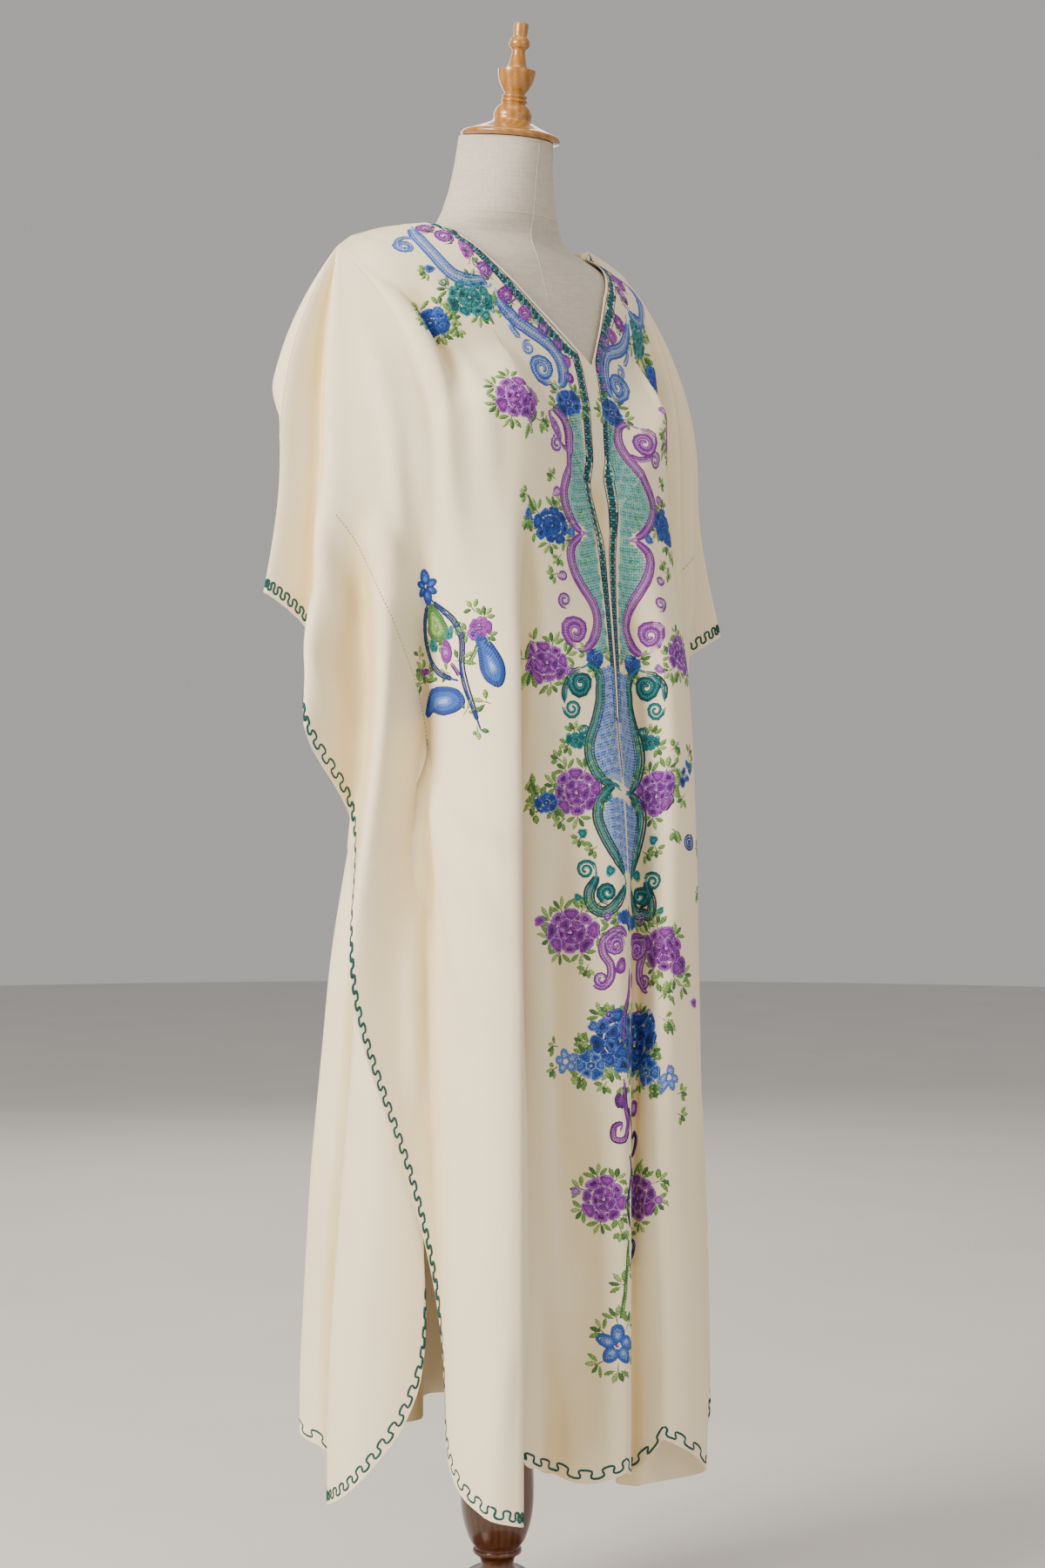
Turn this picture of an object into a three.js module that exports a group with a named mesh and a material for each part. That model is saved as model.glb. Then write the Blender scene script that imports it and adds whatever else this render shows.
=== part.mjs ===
// Embroidered kaftan on a limbless dress form with a turned wooden stand.
// Millimetres, +Z up, origin under the middle of the base. The wearer faces -Y, the wearer's right is -X.
import * as THREE from 'three';

// ------------------------------------------------ named sizes
const NECK_HALF = 110;       // half width of the neck at the shoulder line
const V_DEPTH = 170;         // depth of the front V
const NAPE_DEPTH = 22;       // depth of the back neck
const WALL = 1.7;            // modelled cloth wall
const GAP = 0.2;             // half of the space left between two pieces
const CLEAR = 2.0;           // cloth over the linen
const ROOM = 4.0;            // the form is this much slimmer where the cloth covers it
const SEAM_GAP = 2.0;        // between the layers along the side stitch lines
const TIP = { R: 222, L: 186 };  // flat distance from centre to the shoulder tip on each side
const PER_DEGREE = 4;        // places for each degree round a shoulder tip
const NECK_SHIFT = 18;       // the neck has slipped this far to the wearer's left
const NAPE_TOP = 1503.5, NAPE_DROP = 12;         // height of the back neck at its ends, and its dip
const FALL_MIDDLE = 190, FALL_WING = 214, FALL_POWER = 2.2;  // height over which the cloth leaves the shoulder
const CHEST_LAY = 60;        // over this width from a shoulder tip the cloth comes to lie on the chest and back
const HANG_STEP = 5, HANG_END = 120;             // a hang line's step and lowest height
const BODY_TOP = 1320, SHOULDER_RISE = 90;       // from here up the cloth lies on the shoulders
const UNDER_FORM = 900, POLE_ROOM = 62;          // below the form the cloth stays this far from the pole

// ------------------------------------------------ the form: z, half width, front, back, roundness
const TORSO = [
  [795, 150, 84, 92, 2.3], [803, 158, 91, 99, 2.3], [860, 167, 97, 111, 2.3], [930, 160, 92, 108, 2.3],
  [1000, 138, 84, 90, 2.3], [1080, 118, 80, 72, 2.3], [1150, 126, 94, 76, 2.3], [1215, 142, 118, 86, 2.3],
  [1255, 150, 124, 92, 2.3],
  [1310, 157, 116, 98, 2.3], [1360, 168, 102, 100, 2.3], [1400, 182, 92, 98, 2.25], [1430, 193, 83, 92, 2.1],
  [1448, 197, 77, 86, 1.9], [1462, 191, 72, 79, 1.65], [1472, 179, 69, 74, 1.45], [1481, 162, 66, 70, 1.3],
  [1489, 139, 63, 67, 1.25], [1496, 113, 61, 64, 1.3], [1503, 90, 60, 61, 1.55], [1512, 73, 60, 57, 1.9],
  [1525, 63, 60.5, 50, 2.1],
  [1545, 56, 62, 42, 2.1], [1572, 51, 65, 32, 2.1], [1599, 48, 69, 25, 2.1],
];
const NECK_TILT = 8.5 * Math.PI / 180;
const NECK_TOP = { y: -21.5, z: 1599 };
const CAP_GAP = 0.3;         // between the neck and its cap

// ------------------------------------------------ turned profiles: radius, height
const CAP = [
  [46, 0.4], [50.5, 1.2], [52.6, 3.6], [50.8, 6.6], [44, 9], [30, 15], [20.4, 20.5], [20.2, 27], [18.2, 32.5],
  [14.6, 36.6], [12.3, 38.6], [13.7, 40.4], [13.5, 42.2], [12, 43.4], [13.2, 45], [12.8, 46.8], [10.6, 48.4],
  [13.6, 53], [17.6, 60.5], [19.6, 69], [19.9, 73], [12.2, 73.9], [10.2, 77], [8.4, 83], [7, 91], [7.4, 94],
  [10, 96.4], [11, 100], [9.9, 104], [7.2, 107.4], [7.4, 112], [7.7, 119.5], [6.4, 121.2],
];
const POLE = [
  [19, 96.3], [17.6, 101], [18.4, 108], [21.5, 112.5], [25.6, 115], [25.6, 118.6], [24, 120.6], [29, 128],
  [34.4, 143], [37.6, 158], [39, 178], [38.2, 205], [34.6, 245], [29.8, 300], [25.6, 370], [23, 450],
  [22, 560], [22, 794.7],
];
const BASE = [
  [156, 0], [160, 4], [160, 22], [156, 27], [140, 30], [112, 34], [84, 43], [62, 56], [46, 70], [36, 80],
  [31, 84], [34, 87], [34, 92], [28, 96],
];
const TURNED_SIDES = 24, BASE_SIDES = 36, FORM_SIDES = 32;

// ------------------------------------------------ the shoulder line: flat u, X, Y, Z
const SHOULDER = [
  [222, -204, 5, 1465], [205, -188, 5, 1477], [168, -152, 4, 1490], [135, -120, 3, 1498], [110, -95, 2, 1503],
  [0, 18, 1, 1506],
  [-110, 130, 0, 1504], [-135, 154, 0, 1496], [-160, 180, 1, 1485], [-186, 203, 2, 1468],
];
// the edge of the V on the chest: flat u, X, Z
const VEE = [
  [110, -95, 1503], [92, -85, 1487], [70, -66, 1459], [40, -20, 1411], [0, 40, 1357], [-12, 48, 1371],
  [-60, 82, 1436], [-92, 118, 1483], [-110, 130, 1504],
];
const LEVELS = [1250, 1000, 700, 250];
const BACK_LEVELS = [1250, 1130, 1000, 700, 250];
const TOP_T = 582, LOW_T = -546; // place of the two sleeve folds
const ROUND = 6;             // how softly the folds turn

// ------------------------------------------------ the flat outline, from sleeve edge to hem: u, v
const EDGE = [
  [584, 0], [584, 400], [574, 560], [547, 740], [503, 920], [458, 1080], [426, 1170], [386, 1238], [330, 1282],
  [250, 1300], [120, 1304], [0, 1298],
];
// the side stitch line in the flat, top and bottom: u, v
const SEAM = [[409, 208], [332, 518]];

// ------------------------------------------------ fold lines: name, then place, x, y at each level
// place is u in mm on the middle part; past a shoulder tip it grows by PER_DEGREE a degree round the tip
const FRONT = [
  ['sleeve fold R',  582, -262, 24,   582, -284, 50,   582, -284, 50,   582, -284, 50],
  ['sleeve valley R', 486, -222, 10,  486, -226, 26,   486, -226, 26,   486, -226, 26],
  ['wing ridge 1 R', 410, -236, -20,  410, -253, -7,   410, -250, -5,   410, -250, -5],
  ['wing valley 2 R', 360, -218, -40, 370, -192, -14,  370, -204, -4,   370, -204, -4],
  ['wing ridge 2 R', 300, -196, -62,  332, -199, -62,  330, -217, -28,  330, -215, -28],
  ['side valley R',  240, -170, -86,  270, -135, -50,  270, -134, -59,  262, -131, -80],
  ['tip R',          222, -159, -94,  246, -136, -70,  261, -142, -84,  257, -144, -92],
  ['ridge 3 left',   200, -148, -102, 238, -139, -92,  254, -147, -112, 253, -158, -110],
  ['ridge 3 mid',    160, -120, -122, 214, -126, -134, 241, -145, -158, 241, -162, -175],
  ['ridge 3 edge',   125, -92, -137,  180, -102, -156, 230, -122, -182, 233, -136, -200],
  ['valley 34',      110, -78, -140,  138, -84, -122,  160, -90, -96,   165, -106, -84],
  ['panel 4',        84, -52, -140,   98, -62, -144,   104, -72, -134,  110, -79, -132],
  ['valley 4',       50, -22, -138,   58, -34, -154,   62, -44, -145,   72, -48, -142],
  ['centre ridge',   -2, 22, -133,    -2, 14, -164,    -2, 8, -186,     -2, 7, -193],
  ['recess',         -34, 54, -137,   -44, 58, -150,   -54, 54, -154,   -58, 46, -152],
  ['ridge 5 left',   -68, 90, -134,   -92, 80, -180,   -104, 70, -190,  -108, 66, -192],
  ['ridge 5 edge',   -110, 128, -122, -140, 128, -158, -158, 122, -178, -162, 118, -190],
  ['valley 5',       -150, 152, -92,  -186, 122, -100, -204, 88, -96,   -202, 78, -92],
  ['ridge 6',        -186, 164, -72,  -208, 158, -92,  -235, 190, -110, -226, 206, -122],
  ['side valley L',  -236, 184, -42,  -237, 142, -38,  -259, 144, -46,  -246, 140, -60],
  ['wing ridge 7 L', -300, 206, -64,  -298, 212, -62,  -300, 214, -44,  -300, 214, -44],
  ['wing valley 7 L', -338, 212, -42, -338, 198, -26,  -338, 202, -20,  -338, 202, -20],
  ['wing ridge 8 L', -374, 242, -50,  -374, 246, -34,  -374, 246, -34,  -374, 246, -34],
  ['sleeve valley L', -450, 234, -12, -450, 242, 2,    -450, 242, 2,    -450, 242, 2],
  ['sleeve fold L',  -546, 276, -20,  -546, 310, -42,  -546, 310, -42,  -546, 310, -42],
];
const BACK = [
  ['sleeve fold R',  582, -262, 24,   582, -273, 37,   582, -284, 50,   582, -284, 50,   582, -284, 50],
  ['sleeve back R',  530, -262, 48,   530, -266, 50,   530, -268, 54,   530, -268, 54,   530, -268, 54],
  ['sleeve valley R', 474, -246, 58,  474, -213, 32,   474, -214, 38,   474, -214, 38,   474, -214, 38],
  ['wing back 1 R',  410, -228, 64,   410, -237, -1,   410, -243, 5,    410, -241, 8,    410, -241, 8],
  ['wing back 15 R', 370, -216, 67,   370, -198, -15,  370, -182, -4,   370, -192, 8,    370, -192, 8],
  ['wing back 2 R',  320, -200, 68,   332, -184, -38,  332, -184, -40,  330, -207, -15,  330, -205, -14],
  ['side valley R',  266, -184, 70,   270, -174, -18,  272, -142, -38,  270, -141, -46,  262, -142, -62],
  ['back ridge 0 R', 246, -172, 72,   250, -164, 10,   254, -152, -8,   254, -168, -26,  252, -186, -36],
  ['back ridge B R', 222, -156, 74,   230, -154, 34,   234, -150, 24,   234, -170, 16,   234, -205, 18],
  ['back valley BA', 166, -122, 84,   172, -136, 62,   178, -138, 48,   178, -152, 52,   178, -166, 66],
  ['back ridge A R', 110, -86, 93,    122, -108, 82,   135, -118, 72,   135, -150, 92,   135, -164, 128],
  ['back valley A R', 74, -58, 97,    80, -72, 92,     88, -92, 86,     88, -100, 104,   88, -98, 122],
  ['back ridge C R', 38, -30, 99,     40, -36, 98,     42, -54, 102,    42, -62, 142,    42, -54, 186],
  ['back valley C',  -2, 2, 100,      -2, 0, 96,       -2, -6, 94,      -2, -6, 114,     -2, -4, 128],
  ['back ridge C L', -42, 36, 99,     -44, 38, 98,     -46, 46, 102,    -46, 52, 142,    -46, 52, 188],
  ['back valley A L', -76, 66, 97,    -82, 72, 92,     -90, 90, 84,     -90, 98, 104,    -90, 100, 120],
  ['back ridge A L', -110, 100, 91,   -122, 112, 82,   -134, 122, 68,   -134, 150, 92,   -134, 166, 126],
  ['back valley BA L', -150, 138, 80, -160, 142, 60,   -172, 138, 42,   -172, 152, 52,   -172, 168, 66],
  ['back ridge B L', -186, 164, 70,   -190, 158, 34,   -198, 150, 18,   -198, 170, 20,   -198, 206, 20],
  ['back ridge 0 L', -206, 178, 62,   -214, 168, 12,   -222, 152, -4,   -226, 168, -16,  -220, 188, -28],
  ['side valley L',  -232, 192, 54,   -236, 178, -4,   -242, 148, -26,  -259, 150, -34,  -246, 148, -46],
  ['wing back 2 L',  -290, 212, 45,  -298, 196, -34,  -298, 200, -32,  -300, 205, -30,  -300, 205, -30],
  ['wing back 15 L', -338, 228, 40,  -338, 197, -22,  -338, 188, -13,  -338, 190, -8,   -338, 190, -8],
  ['wing back 1 L',  -374, 240, 34,  -374, 236, -28,  -374, 238, -20,  -374, 238, -20,  -374, 238, -20],
  ['sleeve valley L', -440, 256, 26, -440, 228, 10,   -440, 230, 15,   -440, 230, 15,   -440, 230, 15],
  ['sleeve back L',  -496, 270, 12,   -496, 276, -2,   -496, 284, -6,   -496, 284, -6,   -496, 284, -6],
  ['sleeve fold L',  -546, 276, -20,  -546, 293, -31,  -546, 310, -42,  -546, 310, -42,  -546, 310, -42],
];

// ------------------------------------------------ small helpers
const lerp = (a, b, w) => a + (b - a) * w;
const clamp = (x, a, b) => Math.min(b, Math.max(a, x));
const smooth = (x) => clamp(x, 0, 1) ** 2 * (3 - 2 * clamp(x, 0, 1));
const rad = (d) => d * Math.PI / 180;
const deg = (a) => a * 180 / Math.PI;
const sub = (a, b) => [a[0] - b[0], a[1] - b[1], a[2] - b[2]];
const cross = (a, b) => [a[1] * b[2] - a[2] * b[1], a[2] * b[0] - a[0] * b[2], a[0] * b[1] - a[1] * b[0]];
const unit = (a) => a.map((c) => c / (Math.hypot(...a) || 1));
const add = (a, b, k = 1) => a.map((c, i) => c + b[i] * k);

function ringAt(z) {                     // half width, front, back and roundness of the form at a height
  const T = TORSO;
  if (z <= T[0][0]) return null;
  if (z >= T[T.length - 1][0]) return T[T.length - 1].slice(1);
  let i = 1;
  while (T[i][0] < z) i++;
  const w = (z - T[i - 1][0]) / (T[i][0] - T[i - 1][0]);
  return [1, 2, 3, 4].map((k) => lerp(T[i - 1][k], T[i][k], w));
}
function chestY(x, z, face) {            // how far the form stands out at x and z
  const [half, front, back, power] = ringAt(z);
  if (Math.abs(x) >= half) return 0;
  const q = Math.min(0.999, Math.abs(x) / half);
  return (face < 0 ? front : back) * Math.pow(1 - Math.pow(q, power), 1 / power);
}
function formReach(x, y, z) {            // reach of the form from its axis in the direction of (x, y)
  const r = ringAt(z);
  if (!r) return 0;
  const l = Math.hypot(x, y) || 1;
  const c = Math.abs(x / l) / r[0], s = Math.abs(y / l) / (y < 0 ? r[1] : r[2]);
  return Math.pow(Math.pow(c, r[3]) + Math.pow(s, r[3]), -1 / r[3]);
}
function clearOfForm(face, x, y, z, clear) {  // out from the axis at the body, forward or back on the shoulders
  const l = Math.hypot(x, y);
  const r = Math.max(formReach(x, y, z) + clear, z < UNDER_FORM ? POLE_ROOM : 0);
  const out = l < r ? [x * r / l, y * r / l] : [x, y];
  const k = smooth((z - BODY_TOP) / SHOULDER_RISE);
  if (k === 0) return out;
  const stand = chestY(x, z, face);
  const edge = face * (stand + clear);
  const flat = stand === 0 ? [x, y] : [x, face < 0 ? Math.min(y, edge) : Math.max(y, edge)];
  return [0, 1].map((c) => lerp(out[c], flat[c], k));
}
// the outline as a fine smooth line, and where it is met
const EDGE_STEPS = 12;
const through = (a, b, c, d, w) => 0.5 * (2 * b + (c - a) * w + (2 * a - 5 * b + 4 * c - d) * w * w
  + (3 * b - a - 3 * c + d) * w * w * w);
const OUTLINE = EDGE.slice(1).flatMap((_, i) => {
  const [a, b, c, d] = [i - 1, i, i + 1, i + 2].map((k) => EDGE[clamp(k, 0, EDGE.length - 1)]);
  const steps = Array.from({ length: EDGE_STEPS }, (_, k) => k / EDGE_STEPS);
  return steps.map((w) => [0, 1].map((k) => through(a[k], b[k], c[k], d[k], w)));
});
OUTLINE.push(EDGE[EDGE.length - 1]);
function edgeV(u) {                      // hem below a point of the middle part
  const q = Math.abs(u);
  for (let i = OUTLINE.length - 1; i > 0; i--) {
    const [u0, v0] = OUTLINE[i], [u1, v1] = OUTLINE[i - 1];
    if (q >= u0 && q <= u1) return lerp(v0, v1, (q - u0) / Math.max(1e-9, u1 - u0));
  }
  return OUTLINE[OUTLINE.length - 1][1];
}
function rayEnd(tip, a) {                // length of the hang line at angle a from the shoulder tip to the edge
  const ang = (p) => deg(Math.atan2(p[0] - tip, p[1]));
  for (let i = 1; i < OUTLINE.length; i++) {
    const [p, q] = [OUTLINE[i - 1], OUTLINE[i]];
    if (a <= ang(p) + 1e-9 && a >= ang(q)) {
      const w = (ang(p) - a) / Math.max(1e-9, ang(p) - ang(q));
      return Math.hypot(lerp(p[0], q[0], w) - tip, lerp(p[1], q[1], w));
    }
  }
  return OUTLINE[0][0] - tip;
}
function flatOf(t) {                     // place -> u on the middle part, or the angle round a shoulder tip
  if (t > TIP.R + 1e-9) return { a: (t - TIP.R) / PER_DEGREE, side: 1, tip: TIP.R };
  if (t < -TIP.L - 1e-9) return { a: (-TIP.L - t) / PER_DEGREE, side: -1, tip: TIP.L };
  return { u: t };
}
function tableAt(S, u) {                 // rows fall in their first number
  const c = clamp(u, S[S.length - 1][0], S[0][0]);
  let i = 1;
  while (i < S.length - 1 && S[i][0] > c) i++;
  const w = (S[i - 1][0] - c) / (S[i - 1][0] - S[i][0]);
  return S[0].slice(1).map((_, k) => lerp(S[i - 1][k + 1], S[i][k + 1], w));
}
// centripetal spline through four plan points
function spline(p0, p1, p2, p3, w) {
  const d = (a, b) => Math.max(1e-3, Math.sqrt(Math.hypot(a[0] - b[0], a[1] - b[1])));
  const t1 = d(p0, p1);
  const t2 = t1 + d(p1, p2);
  const t3 = t2 + d(p2, p3);
  const t = lerp(t1, t2, w);
  const mix = (a, b, ta, tb) => [0, 1].map((k) => (a[k] * (tb - t) + b[k] * (t - ta)) / (tb - ta));
  const middle = mix(p1, p2, t1, t2);
  const before = mix(mix(p0, p1, 0, t1), middle, 0, t2);
  const after = mix(middle, mix(p2, p3, t2, t3), t1, t3);
  return mix(before, after, t1, t2);
}
function lineAt(face, row, z) {          // place, x and y of one fold line at a height
  const L = face < 0 ? LEVELS : BACK_LEVELS, n = L.length - 1;
  const P = L.map((_, k) => row.slice(1 + 3 * k, 4 + 3 * k));
  if (z >= L[0]) return P[0];
  if (z <= L[n]) return P[n];
  let i = 0;
  while (z < L[i + 1]) i++;
  const h = L[i] - L[i + 1];
  const w = (L[i] - z) / h;
  const w2 = w * w, w3 = w2 * w;
  const slope = (k, c) => k === 0 || k === n ? 0 : (P[k + 1][c] - P[k - 1][c]) / (L[k - 1] - L[k + 1]) * h;
  return [0, 1, 2].map((c) => (2 * w3 - 3 * w2 + 1) * P[i][c] + (w3 - 2 * w2 + w) * slope(i, c)
    + (3 * w2 - 2 * w3) * P[i + 1][c] + (w3 - w2) * slope(i + 1, c));
}
const levelMemo = new Map();
function linesAt(face, z) {
  const key = face + ':' + z.toFixed(2);
  if (!levelMemo.has(key)) {
    const rows = (face < 0 ? FRONT : BACK).map((r) => lineAt(face, r, z));
    const other = face < 0 ? BACK : FRONT;   // past a sleeve fold the other panel goes on, so the fold is round
    const before = lineAt(-face, other[1], z);
    const after = lineAt(-face, other[other.length - 2], z);
    levelMemo.set(key, { rows, before, after });
  }
  return levelMemo.get(key);
}
function rawPlan(face, t, z) {
  const { rows, before, after } = linesAt(face, z);
  const n = rows.length;
  let i = 1;
  while (i < n - 1 && rows[i][0] > t) i++;
  const w = clamp((rows[i - 1][0] - t) / (rows[i - 1][0] - rows[i][0]), 0, 1);
  const P = [i > 1 ? rows[i - 2] : before, rows[i - 1], rows[i], i < n - 1 ? rows[i + 1] : after];
  return spline(...P.map((r) => r.slice(1)), w);
}
function foldPlan(face, t, z) {          // fold lines rounded a little
  const k = clamp(Math.min(TOP_T - t, t - LOW_T) / ROUND, 0, 1) * ROUND;
  const a = rawPlan(face, t - k, z), b = rawPlan(face, t, z), c = rawPlan(face, t + k, z);
  return [0, 1].map((i) => 0.25 * a[i] + 0.5 * b[i] + 0.25 * c[i]);
}

// ------------------------------------------------ one hang line: start, then the cloth down to its edge
const memo = new Map();
function hang(face, t) {                 // face -1 front, 1 back -> {s0, s1, at(s)}
  const key = face + ':' + t.toFixed(3);
  if (memo.has(key)) return memo.get(key);
  const f = flatOf(t);
  let top, s0 = 0, s1;
  if (f.u === undefined) {
    top = tableAt(SHOULDER, f.side * f.tip);
    s1 = rayEnd(f.tip, f.a);
  } else {
    top = tableAt(SHOULDER, f.u);
    s1 = edgeV(f.u);
    const q = 1 - Math.abs(f.u) / NECK_HALF;
    if (q > 0 && face < 0) {             // down the V on the chest
      s0 = V_DEPTH * q;
      const [x, z] = tableAt(VEE, f.u);
      top = [x, -(chestY(x, z, -1) + CLEAR), z];
    } else if (q > 0) {                  // round the nape
      s0 = NAPE_DEPTH * (1 - Math.pow(1 - q, 2));
      const x = NECK_SHIFT - f.u;
      const z = NAPE_TOP - NAPE_DROP * (1 - Math.pow(1 - q, 2));
      top = [x, chestY(x, z, 1) + CLEAR, z];
    }
  }
  top = [top[0], top[1] + face * GAP, top[2]];
  const fall = f.u === undefined ? FALL_WING : FALL_MIDDLE;
  const lay = f.u === undefined ? 0 : smooth(((f.u > 0 ? TIP.R : TIP.L) - Math.abs(f.u)) / CHEST_LAY);
  const pts = [];
  let len = s0, prev = null;
  for (let z = top[2]; z > HANG_END; z -= HANG_STEP) {
    const x = (top[2] - z) / fall;
    const g = x >= 1 ? 1 : 1 - Math.pow(1 - x, FALL_POWER);
    const lying = x >= 1 ? 1 : x * x * (1.6 - 0.6 * x * x);
    const p = foldPlan(face, t, z);
    let q = [lerp(top[0], p[0], g), lerp(top[1], p[1], lerp(g, lying, lay))];
    if (z < top[2] - 1) {
      q = clearOfForm(face, q[0], q[1], z, CLEAR * smooth((top[2] - z) / 30 + 0.35));
    }
    if (prev) len += Math.hypot(q[0] - prev[0], q[1] - prev[1], z - prev[2]);
    prev = [q[0], q[1], z];
    pts.push([len, ...prev]);
  }
  const at = (s) => {
    let lo = 0, hi = pts.length - 1;
    if (s <= pts[0][0]) return pts[0].slice(1);
    while (hi - lo > 1) {
      const m = (lo + hi) >> 1;
      if (pts[m][0] <= s) lo = m;
      else hi = m;
    }
    const w = (s - pts[lo][0]) / (pts[hi][0] - pts[lo][0]);
    return [1, 2, 3].map((k) => lerp(pts[lo][k], pts[hi][k], w));
  };
  const out = { s0, s1, at };
  memo.set(key, out);
  return out;
}

// how far the back is held to the front: along the stitch lines, and the sleeve's two layers outside them
const BEHIND = { R: [0.86, 0.51, 0], L: [-0.616, 0.788, 0] };   // the way the back lies from the front
const HOLD = { above: 130, rise: 100, below: 10, fade: 120, inside: 42 };  // where the hold starts and ends
const HELD_CLEAR = 5;        // the held back stands this much further off the form
const OPEN = { most: 50, share: 0.5, atFold: 40, least: 0.02 }; // how the layers part away from the stitches
function join(t, s) {                    // -> share 0..1, space between the layers, way
  const right = t > 0;
  const tip = right ? TIP.R : TIP.L;
  const q = Math.abs(t);
  const line = (c) => [lerp(SEAM[0][0], SEAM[1][0], c) - tip, lerp(SEAM[0][1], SEAM[1][1], c)];
  const reach = (c) => Math.hypot(...line(c));
  const sTop = reach(0), sLow = reach(1);
  let lo = 0, hi = 1;
  for (let k = 0; k < 24; k++) {
    const m = (lo + hi) / 2;
    if (reach(m) < s) lo = m;
    else hi = m;
  }
  const place = tip + PER_DEGREE * deg(Math.atan2(...line(lo)));
  const arc = s * rad(1 / PER_DEGREE);
  const out = q > tip ? (q - place) * arc : (tip - place) * arc - (tip - q);
  const away = Math.hypot(out, s < sTop ? sTop - s : s > sLow ? s - sLow : 0);
  const ends = smooth((s - sTop + HOLD.above) / HOLD.rise) * (1 - smooth((s - sLow - HOLD.below) / HOLD.fade));
  const k = ends * (out >= 0 ? 1 : Math.exp(-Math.pow(out / HOLD.inside, 2)));
  const toFold = (right ? TOP_T : -LOW_T) - q;
  const space = (SEAM_GAP + OPEN.share * Math.min(away, OPEN.most)) * smooth(toFold / OPEN.atFold + OPEN.least);
  return { k, d: Math.max(4 * GAP, space), way: right ? BEHIND.R : BEHIND.L };
}

// ------------------------------------------------ a panel as a closed wall
// columns of the modelled wall: fixed ones on the wings, then ones that follow the fold lines across the middle
const WING_HIGH = { R: 250, L: -236 };   // where the wing's columns end above WING_TURN, and below it
const WING_LOW = { R: 266, L: -262 };
const WING_TURN = 560, WING_OVER = 250;
const WING_COLUMNS = 13, WING_COLUMNS_LEFT = 12;
const TOP_Z = 1480;                      // a distance s down the cloth is about this high less s
const wingEnd = (side, s) => lerp(WING_HIGH[side], WING_LOW[side], smooth((s - WING_TURN) / WING_OVER));
function columnPlaces(face, per) {       // -> functions of the distance down the cloth
  const table = face < 0 ? FRONT : BACK;
  const names = table.map((r) => r[0]);
  const first = names.indexOf(face < 0 ? 'tip R' : 'back ridge B R');
  const last = names.indexOf(face < 0 ? 'ridge 6' : 'back ridge B L');
  const out = [];
  for (let k = 0; k < WING_COLUMNS; k++) out.push((s) => lerp(TOP_T, wingEnd('R', s), k / WING_COLUMNS));
  const marks = [(s) => wingEnd('R', s)];
  for (let k = first; k <= last; k++) marks.push((s) => lineAt(face, table[k], TOP_Z - s)[0]);
  marks.push((s) => wingEnd('L', s));
  for (let i = 0; i < marks.length - 1; i++) {
    const n = i === 0 || i === marks.length - 2 ? 2 : per;
    for (let k = 0; k < n; k++) out.push((s) => lerp(marks[i](s), marks[i + 1](s), k / n));
  }
  for (let k = 0; k <= WING_COLUMNS_LEFT; k++) {
    out.push((s) => lerp(wingEnd('L', s), LOW_T, k / WING_COLUMNS_LEFT));
  }
  return out;
}
// rows down the cloth, closer at the shoulder
const ROWS = [0, 0.012, 0.028, 0.048, 0.072, 0.1, 0.134, 0.172, 0.214, 0.262, 0.315, 0.372, 0.43, 0.49, 0.552,
  0.616, 0.68, 0.745, 0.81, 0.875, 0.94, 1];
function panelGrid(face, per) {
  const cols = columnPlaces(face, per);
  const tops = [];
  const grid = cols.map((place) => {
    const s0 = hang(face, place(0)).s0;
    let s1 = 1200;
    for (let k = 0; k < 6; k++) s1 = hang(face, place(s1)).s1;
    tops.push(place(0));
    return ROWS.map((w) => {
      const s = lerp(s0, s1, w), t = place(s);
      let p = hang(face, t).at(s);
      if (face > 0) {                    // the back meets the front along the stitch lines
        const { k, d, way } = join(t, s);
        if (k > 0.002) {
          const goal = add(hang(-1, t).at(s), way, d);
          p = [0, 1, 2].map((i) => lerp(p[i], goal[i], k));
          if (p[2] < BODY_TOP) p = [...clearOfForm(1, p[0], p[1], p[2], CLEAR + HELD_CLEAR * k), p[2]];
        }
      }
      return p;
    });
  });
  return { cols: tops, grid };
}
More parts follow.
